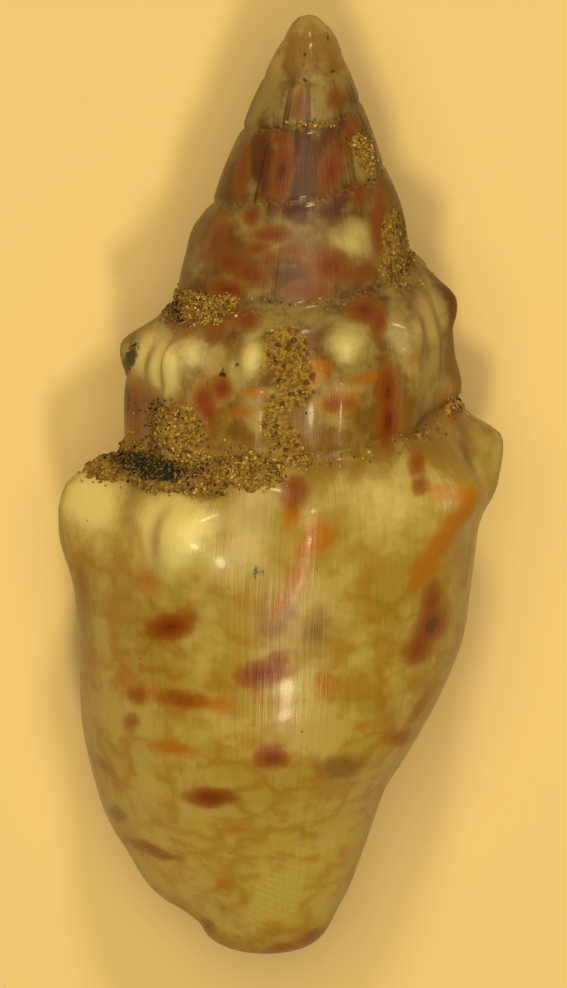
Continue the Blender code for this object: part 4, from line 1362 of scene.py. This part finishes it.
    def make_grains(self, finish: bpy.types.Material) -> bpy.types.Object:
        """Make the grains as one plain mesh.

        Args:
            finish: Their material.

        Returns:
            The piece.
        """
        inputs = {"Grains per square mm": self.grains_per_mm2, "Strays per square mm": self.stray_per_mm2}
        tree = GeometryTree("sediment_grains", inputs, {"Mesh": "Geometry"})
        upper, _ = self._slabs(tree)
        heavy = tree.read(Kept.SOLID).smooth(0.3, 0.8) * (1.0 - tree.read(Kept.POROUS).smooth(0.2, 0.5) * 0.8)
        heaped = self._scatter(tree, upper, heavy * tree.size("Grains per square mm"), self.seed)
        sheet = tree.call(self.sheet_tree, {}).outputs["Mesh"]
        light = tree.read(Kept.COVER).smooth(0.01, 0.3) * (1.0 - tree.read(Kept.SOLID).smooth(0.5, 1.0))
        strays = self._scatter(tree, sheet, light * tree.size("Strays per square mm"), self.seed + 20)
        tree.finish(tree.join(heaped, strays), finish)
        return tree.make("sediment_grains")


class Paint(Graph):
    """Shader graph of a material that reads the place on the shell."""

    def __init__(self, name: str, rest: RestPose) -> None:
        """Make an empty material.

        Args:
            name: The material's name.
            rest: How the shell lies.
        """
        self.material = bpy.data.materials.new(name)
        self.material.use_nodes = True
        self.material.node_tree.nodes.clear()
        super().__init__(self.material.node_tree)
        here = self.node("ShaderNodeTexCoord").outputs["Object"]
        moved = self.vector("SUBTRACT", self.vector("MULTIPLY", here, PER_MM), rest.moved)
        self.own = self.node("ShaderNodeVectorRotate", {"rotation_type": "EULER_XYZ", "invert": True},
                             {"Vector": moved, "Rotation": rest.turned}).outputs[0]
        parts = self.node("ShaderNodeSeparateXYZ", None, {0: self.own})
        self.x, self.y, self.z = (Field(self, output) for output in parts.outputs)
        self.height = rest.centre - self.y

    def attribute(self, name: Kept) -> Field:
        """Read a value that is kept on the mesh."""
        return self.field("ShaderNodeAttribute", {"attribute_name": name.value}, None, "Fac")

    def mix(self, factor: Field | float, low: object, high: object) -> Socket:
        """Mix two colours, given as sockets or as 0 to 255."""
        node = self.node("ShaderNodeMix", {"data_type": "RGBA", "clamp_factor": True})
        self.feed(node.inputs[0], factor)
        for index, colour in ((6, low), (7, high)):
            self.feed(node.inputs[index], linear(*colour) if isinstance(colour, tuple) else colour)
        return node.outputs[2]

    def ramp(self, stops: tuple, value: Field) -> Socket:
        """Read a colour ramp with stops of 0 to 255 at a value."""
        light = [(at, linear(*colour)) for at, colour in stops]
        return self.node("ShaderNodeValToRGB", {"stops": light}, {0: value}).outputs[0]

    def finish(self, relief: Field, inputs: dict) -> bpy.types.Material:
        """Send a principled surface out.

        Args:
            relief: Height of the fine relief, in millimetres.
            inputs: Inputs of the principled shader.

        Returns:
            The material.
        """
        bump = self.node("ShaderNodeBump", None, {"Strength": 1.0, "Distance": MM, "Height": relief})
        shader = self.node("ShaderNodeBsdfPrincipled", None, {**inputs, "Normal": bump.outputs[0]})
        output = self.node("ShaderNodeOutputMaterial")
        self.tree.links.new(shader.outputs[0], output.inputs[0])
        return self.material


@dataclass(frozen=True)
class ShellFinish:
    """Worn satin shell: cream body with orange lines and brown blotches, and a browner spire."""

    name: str = "worn_shell"
    spire: tuple = (
        (0.0, (144, 112, 34)), (0.055, (124, 88, 20)), (0.085, (86, 44, 6)), (0.13, (92, 48, 8)),
        (0.19, (92, 48, 8)), (0.205, (122, 86, 22)), (0.24, (104, 62, 13)), (0.28, (78, 34, 3)),
        (0.31, (108, 70, 16)), (0.43, (130, 94, 28)), (0.47, (164, 138, 58)), (0.7, (162, 136, 54)),
        (0.84, (186, 162, 70)), (0.94, (186, 162, 68)), (1.0, (150, 108, 30)))
    white: tuple = (228, 214, 140)
    cream: tuple = (190, 172, 98)
    orange: tuple = (174, 104, 2)
    line: tuple = (156, 100, 8)
    halo: tuple = (140, 84, 10)
    brown: tuple = (128, 54, 1)
    darkest: tuple = (52, 18, 0)
    purple: tuple = (118, 78, 34)
    crust: tuple = (142, 110, 44)
    crust_dark: tuple = (58, 38, 16)
    crust_low: tuple = (110, 76, 20)
    crust_high: tuple = (176, 140, 48)
    soot: tuple = (18, 10, 5)
    streak: tuple = (66, 18, 0)
    mottle: tuple = (108, 48, 10)
    growth_line: tuple = (92, 60, 22)
    # Colour of the painted shade in the pits of the porous patches.
    pit_shade: tuple = (80, 50, 18)
    seam_dark: tuple = (66, 34, 10)
    speck: tuple = (66, 42, 16)
    # Colour of the painted shade along the rim, where the surface turns away from the view.
    painted_limb_shade: tuple = (84, 46, 8)
    lip_inside: tuple = (200, 170, 110)
    deep_inside: tuple = (172, 126, 74)
    cords: int = 30
    growth_rate: float = 0.359
    growth_offset: float = 0.878

    def make(self, rest: RestPose) -> bpy.types.Material:
        """Build the material.

        Args:
            rest: How the shell lies.

        Returns:
            The material.
        """
        paint = Paint(self.name, rest)
        masks = {name: paint.attribute(name) for name in (*Markings.TABLES, Kept.INSIDE, Kept.SEAM)}
        x, z, height = paint.x, paint.z, paint.height
        radius = (x * x + z * z).apply("SQRT") / 40.0
        growth = paint.combine(x / radius, z / radius, height * 0.7)
        lines = paint.noise(growth, 1.0, 3.0, 0.65)
        ragged = paint.noise(paint.own, 3.2, 4.0, 0.6)
        fine = paint.noise(paint.own, 17.0, 3.0, 0.75)
        colour = self._bands(paint, growth, lines)
        layers = ((Kept.WHITE, self.white, 0.85, 0.36, 0.8), (Kept.PURPLE, self.purple, 0.7, 0.4, 0.7),
                  (Kept.ORANGE, self.orange, 0.85, 0.34, 0.8), (Kept.BROWN, self.halo, 0.8, 0.16, 0.5),
                  (Kept.BROWN, self.brown, 0.95, 0.5, 0.8))
        for name, tint, most, start, edge in layers:
            colour = self._patch(paint, ragged, colour, masks[name], tint, most, start, edge)
        core = (masks[Kept.BROWN] + (ragged - 0.5) * 0.4).smooth(0.8, 1.15)
        colour = paint.mix(core * 0.7, colour, self.darkest)
        old = height.over((0.5, 1.1), (3.9, 4.7))
        colour = paint.mix(old * 0.25, colour, self.darkest)
        porous = masks[Kept.POROUS]
        cover = (porous + (fine - 0.5) * 0.8).smooth(0.3, 0.55) * porous.smooth(0.05, 0.25)
        pit = (1.0 - (paint.cells(paint.own, 7.0) + (fine - 0.5) * 0.5).smooth(0.12, 0.36)) * cover
        colour = self._crusts(paint, colour, masks, fine, cover, pit)
        angle = paint.math("ARCTAN2", x, z) / FULL_TURN
        along = (height + self.growth_offset).apply("LOGARITHM") / self.growth_rate + angle
        cord = (along * (FULL_TURN * self.cords)).apply("COSINE") * height.smooth(10.2, 12.4)
        crusted = (masks[Kept.CRUST] + porous).between(0.0, 1.0).smooth(0.2, 0.6)
        etched = masks[Kept.WHITE] + masks[Kept.ORANGE] * 0.5 + 1.0 - height.smooth(4.0, 7.0)
        etched = etched.between(0.0, 1.0)
        relief = lines * 0.01 + cord * 0.002 + fine * (crusted * 0.03 + etched * 0.007 + 0.0015) - pit * 0.05
        dull = height.over((0.5, 1.2), (4.2, 6.2)) * 0.16
        rough = paint.blend(crusted, ragged * 0.2 + lines * 0.18 + dull + 0.16, paint.number(0.85))
        return paint.finish(relief, {
            "Base Color": colour, "Roughness": rough.between(0.05, 1.0), "IOR": 1.53,
            "Specular IOR Level": 0.36, "Coat Weight": (1.0 - crusted) * 0.15, "Coat Roughness": 0.12,
            "Subsurface Weight": 0.1,
            "Subsurface Radius": (0.0006, 0.0004, 0.0002), "Subsurface Scale": 1.0})

    def _bands(self, paint: Paint, growth: Socket, lines: Field) -> Socket:
        """Colour of the clean shell: the browner spire, the mottled third whorl and the netted body.

        Args:
            paint: Graph to add to.
            growth: Place that runs fast along the spiral and slowly down it.
            lines: Noise of the growth lines.

        Returns:
            The colour.
        """
        height = paint.height
        colour = paint.ramp(self.spire, height / 14.0)
        cloud = paint.noise(paint.own, 1.1, 4.0, 0.6)
        colour = paint.mix(cloud.smooth(0.42, 0.62) * 0.6, colour, self.cream)
        streaks = paint.noise(growth, 0.16, 3.0, 0.55)
        on_spire = streaks.smooth(0.5, 0.62) * height.over((0.6, 1.2), (2.6, 2.9))
        colour = paint.mix(on_spire * 0.75, colour, self.streak)
        mottle = paint.node("ShaderNodeTexNoise", None, {"Vector": paint.own, "Scale": 2.0, "Detail": 3.0})
        spot = Field(paint, mottle.outputs[0])
        third = height.over((2.7, 3.0), (4.0, 4.6))
        colour = paint.mix(spot.smooth(0.46, 0.6) * third * 0.6, colour, self.mottle)
        bent = paint.vector("MULTIPLY", mottle.outputs["Color"], (0.8, 0.8, 0.8))
        warp = paint.vector("ADD", paint.own, bent)
        flat = paint.vector("MULTIPLY", warp, (0.9, 1.7, 0.9))
        net = 1.0 - paint.cells(flat, 1.15, "DISTANCE_TO_EDGE").smooth(0.0, 0.24)
        net = net * (1.0 - cloud.smooth(0.46, 0.62))
        colour = paint.mix(net * height.smooth(6.8, 8.2) * 0.5, colour, self.line)
        spots = (1.0 - paint.cells(flat, 0.62).smooth(0.2, 0.32)) * (0.0 - paint.z).smooth(0.3, 1.2)
        colour = paint.mix(spots * 0.8, colour, self.brown)
        return paint.mix(lines.smooth(0.5, 0.75) * 0.18, colour, self.growth_line)

    @staticmethod
    def _patch(paint: Paint, ragged: Field, colour: Socket, mask: Field, tint: tuple,
               most: float, start: float, edge: float) -> Socket:
        """Mix in the colour of patches with a noisy edge.

        Args:
            paint: Graph to add to.
            ragged: Noise that moves the edge.
            colour: Colour so far.
            mask: Field of the patches.
            tint: Their colour.
            most: Cover in the middle.
            start: Share of the mask at which half of the cover is reached.
            edge: Width of the soft edge.

        Returns:
            The colour with the patches.
        """
        moved = mask + (ragged - 0.5) * 0.7
        cover = moved.smooth(start - edge * 0.5, start + edge * 0.5) * mask.smooth(0.01, 0.2)
        return paint.mix(cover * most, colour, tint)

    def _crusts(self, paint: Paint, colour: Socket, masks: dict[Kept, Field], fine: Field,
                cover: Field, pit: Field) -> Socket:
        """Mix in the sediment's stains, the porous patches, dirt, sutures, painted shade along the rim where
        the surface turns away from the view, and the inside.

        Args:
            paint: Graph to add to.
            colour: Colour so far.
            masks: Fields of the patches.
            fine: Fine noise.
            cover: Where the porous patches lie.
            pit: How deep their pits are, and how strong the painted shade in them is.

        Returns:
            The colour.
        """
        stain, sooty, lining = (masks[name] for name in (Kept.CRUST, Kept.SOOT, Kept.INSIDE))
        crust = (stain + (fine - 0.5) * 0.9).smooth(0.3, 0.55) * stain.smooth(0.03, 0.2)
        grain = paint.mix(fine.smooth(0.42, 0.58), self.crust_dark, self.crust)
        colour = paint.mix(crust * 0.8, colour, grain)
        grit = paint.mix(fine.smooth(0.42, 0.6), self.crust_low, self.crust_high)
        colour = paint.mix(cover * 0.8, colour, grit)
        # Painted shade in the pits of the porous patches.
        colour = paint.mix(pit * 0.6, colour, self.pit_shade)
        dirt = (sooty + (fine - 0.5) * 1.1).smooth(0.45, 0.75) * sooty.smooth(0.1, 0.3)
        colour = paint.mix(dirt * 0.92, colour, self.soot)
        seam = masks[Kept.SEAM] * (fine * 1.4 + 0.1).between(0.0, 1.0)
        packed = paint.mix(fine.smooth(0.45, 0.6), self.seam_dark, self.crust)
        colour = paint.mix(seam * 0.6, colour, packed)
        speck = (1.0 - paint.cells(paint.own, 3.4).smooth(0.045, 0.08)) * fine.smooth(0.45, 0.6)
        colour = paint.mix(speck * 0.7, colour, self.speck)
        # Painted shade: the colour darkens towards the rim, where the surface turns away from the view.
        painted_limb_shade = Field(paint, paint.node("ShaderNodeLayerWeight", None, {"Blend": 0.5}).outputs["Facing"])
        colour = paint.mix(painted_limb_shade.smooth(0.45, 0.95) * 0.6, colour, self.painted_limb_shade)
        inner = paint.mix(lining.smooth(0.97, 1.0), self.lip_inside, self.deep_inside)
        return paint.mix(lining.smooth(0.35, 0.9), colour, inner)


@dataclass(frozen=True)
class CrustFinish:
    """Matte baked sediment: tan and yellow grit with dark gaps, and painted shade in its pits."""

    name: str = "baked_sediment"
    dark: tuple = (58, 36, 10)
    # Colour of the painted shade in the pits.
    pit_shade: tuple = (66, 40, 14)
    tan: tuple = (142, 106, 32)
    pale: tuple = (186, 152, 56)
    soot: tuple = (14, 9, 5)

    def make(self, rest: RestPose) -> bpy.types.Material:
        """Build the material.

        Args:
            rest: How the shell lies.

        Returns:
            The material.
        """
        paint = Paint(self.name, rest)
        fine = paint.noise(paint.own, 13.0, 4.0, 0.8)
        colour = paint.mix(fine.smooth(0.36, 0.5), self.dark, self.tan)
        colour = paint.mix(fine.smooth(0.52, 0.66), colour, self.pale)
        # Painted shade in the pits of the crust.
        colour = paint.mix(paint.attribute(Kept.PIT) * 0.8, colour, self.pit_shade)
        soot = (paint.attribute(Kept.SOOT) + (fine - 0.5) * 0.9).smooth(0.35, 0.6)
        colour = paint.mix(soot * 0.95, colour, self.soot)
        return paint.finish(fine * 0.02, {"Base Color": colour, "Roughness": 0.9 - fine * 0.2, "IOR": 1.5})


@dataclass(frozen=True)
class GrainFinish:
    """Grains of sand in tan, yellow, brown and black, by each grain's own tone."""

    name: str = "sand_grains"
    tones: tuple = ((0.0, (16, 10, 5)), (0.03, (70, 46, 14)), (0.2, (112, 82, 24)), (0.6, (150, 116, 38)),
                    (0.9, (184, 152, 56)), (1.0, (214, 186, 100)))

    def make(self, rest: RestPose) -> bpy.types.Material:
        """Build the material.

        Args:
            rest: How the shell lies.

        Returns:
            The material.
        """
        paint = Paint(self.name, rest)
        speck = paint.noise(paint.own, 30.0, 2.0)
        tone = paint.attribute(Kept.TONE) - paint.attribute(Kept.SOOT) * 0.55 + (speck - 0.5) * 0.3
        colour = paint.ramp(self.tones, tone)
        rough = 0.9 - tone.between(0.0, 1.0) * 0.4
        return paint.finish(speck * 0.004, {"Base Color": colour, "Roughness": rough, "IOR": 1.5})


@dataclass(frozen=True)
class FloorFinish:
    """Plain pale floor."""

    name: str = "pale_floor"
    colour: tuple = (234, 206, 146)
    roughness: float = 0.75

    def make(self) -> bpy.types.Material:
        """Build the material."""
        material = bpy.data.materials.new(self.name)
        material.use_nodes = True
        shader = material.node_tree.nodes["Principled BSDF"]
        shader.inputs["Base Color"].default_value = linear(*self.colour)
        shader.inputs["Roughness"].default_value = self.roughness
        return material


@dataclass(frozen=True)
class Lamp:
    """A soft lamp, in degrees above and right of the camera, metres and watts."""

    name: str
    up: float
    right: float
    distance: float
    size: float
    energy: float


@dataclass(frozen=True)
class Studio:
    """Floor, lights and camera."""

    rest: RestPose
    view_pitch: float = 13.0
    view_roll: float = 1.7
    pixels_per_mm: float = 69.0
    picture: tuple[int, int] = (567, 988)
    apex_pixel: tuple[float, float] = (310.0, 15.0)
    lens: float = 600.0
    sensor: float = 36.0
    floor_half: float = 0.5
    light_colour: tuple[float, float, float, float] = (1.0, 0.87, 0.52, 1.0)
    fill: float = 0.08
    lamps: tuple[Lamp, ...] = (Lamp("lamp_apex", 40.0, 4.0, 0.18, 0.026, 0.11),
                               Lamp("lamp_front", -28.0, 4.0, 0.18, 0.026, 0.11),
                               Lamp("lamp_key", 3.0, -2.0, 0.3, 0.22, 0.46))

    def make(self) -> None:
        """Make the floor, the lights and the camera."""
        bpy.context.scene.view_settings.view_transform = "Standard"
        self._floor()
        self._camera()
        self._lights()

    def _floor(self) -> None:
        """Plain pale floor."""
        half = self.floor_half
        mesh = bpy.data.meshes.new("floor")
        corners = [(-half, -half, 0.0), (half, -half, 0.0), (half, half, 0.0), (-half, half, 0.0)]
        mesh.from_pydata(corners, [], [(0, 1, 2, 3)])
        mesh.materials.append(FloorFinish().make())
        floor = bpy.data.objects.new("floor", mesh)
        bpy.context.scene.collection.objects.link(floor)

    def _lights(self) -> None:
        """Broad lamp by the camera, a small one towards each end of the shell, and weak light all round."""
        scene = bpy.context.scene
        world = bpy.data.worlds.new("soft_light")
        world.use_nodes = True
        background = world.node_tree.nodes["Background"].inputs
        background["Color"].default_value = self.light_colour
        background["Strength"].default_value = self.fill
        scene.world = world
        view = scene.camera.matrix_world.to_3x3().normalized()
        target = Vector((0.0, 0.0, 0.0025))
        for lamp in self.lamps:
            light = bpy.data.lights.new(lamp.name, "AREA")
            light.shape = "DISK"
            light.size = lamp.size
            light.energy = lamp.energy
            light.color = self.light_colour[:3]
            up, right = math.radians(lamp.up), math.radians(lamp.right)
            level = math.cos(up)
            towards = view @ Vector((math.sin(right) * level, math.sin(up), level * math.cos(right)))
            holder = bpy.data.objects.new(lamp.name, light)
            holder.matrix_world = self._aim(target + towards * lamp.distance, target)
            scene.collection.objects.link(holder)

    @staticmethod
    def _aim(place: Vector, target: Vector) -> Matrix:
        """Matrix of a light or camera at a place that looks at a target."""
        turn = (target - place).to_track_quat("-Z", "Y").to_matrix().to_4x4()
        return Matrix.Translation(place) @ turn

    def _camera(self) -> None:
        """Camera at the photograph's angle: over the back of the shell, with the apex tilted to it."""
        camera = bpy.data.cameras.new("camera")
        camera.lens = self.lens
        camera.sensor_width = self.sensor
        width, height = self.picture
        frame_height = height / self.pixels_per_mm
        distance = frame_height * self.lens / self.sensor
        across = (width / 2.0 - self.apex_pixel[0]) / self.pixels_per_mm
        down = (height / 2.0 - self.apex_pixel[1]) / self.pixels_per_mm
        tilt = Matrix.Rotation(math.radians(-self.view_pitch), 4, "X")
        roll = Matrix.Rotation(math.radians(self.view_roll), 4, "Z")
        in_picture = Matrix.Translation((across, -down, distance))
        own = tilt @ roll @ in_picture
        rest = self.rest
        pitch, roll_angle, _ = rest.turned
        lying = Matrix.Translation(rest.moved) @ Matrix.Rotation(roll_angle, 4, "Y")
        lying = lying @ Matrix.Rotation(pitch, 4, "X")
        world = lying @ Matrix.Translation((0.0, rest.centre, 0.0)) @ own
        world.translation = world.translation * MM
        camera.clip_start = distance * MM * 0.1
        camera.clip_end = distance * MM * 10.0
        camera_object = bpy.data.objects.new("camera", camera)
        camera_object.matrix_world = world
        bpy.context.scene.collection.objects.link(camera_object)
        bpy.context.scene.camera = camera_object


def main() -> None:
    """Build the studio and the shell."""
    logging.basicConfig(level=logging.INFO)
    rest = RestPose()
    Studio(rest).make()
    law = SpiralLaw(SpiralSizes(), NodeSizes(), rest)
    markings = Markings()
    sediment = Sediment(law, markings)
    pieces = [Shell(law, ApertureSizes(), markings, ShellFinish().make(rest)).make(),
              sediment.make_crust(CrustFinish().make(rest)),
              sediment.make_grains(GrainFinish().make(rest))]
    for piece in pieces:
        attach(piece, "root")
        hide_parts("shell")
        LOG.info("%s: %d faces", piece.name, len(piece.data.polygons))


if __name__ == "__main__":
    main()
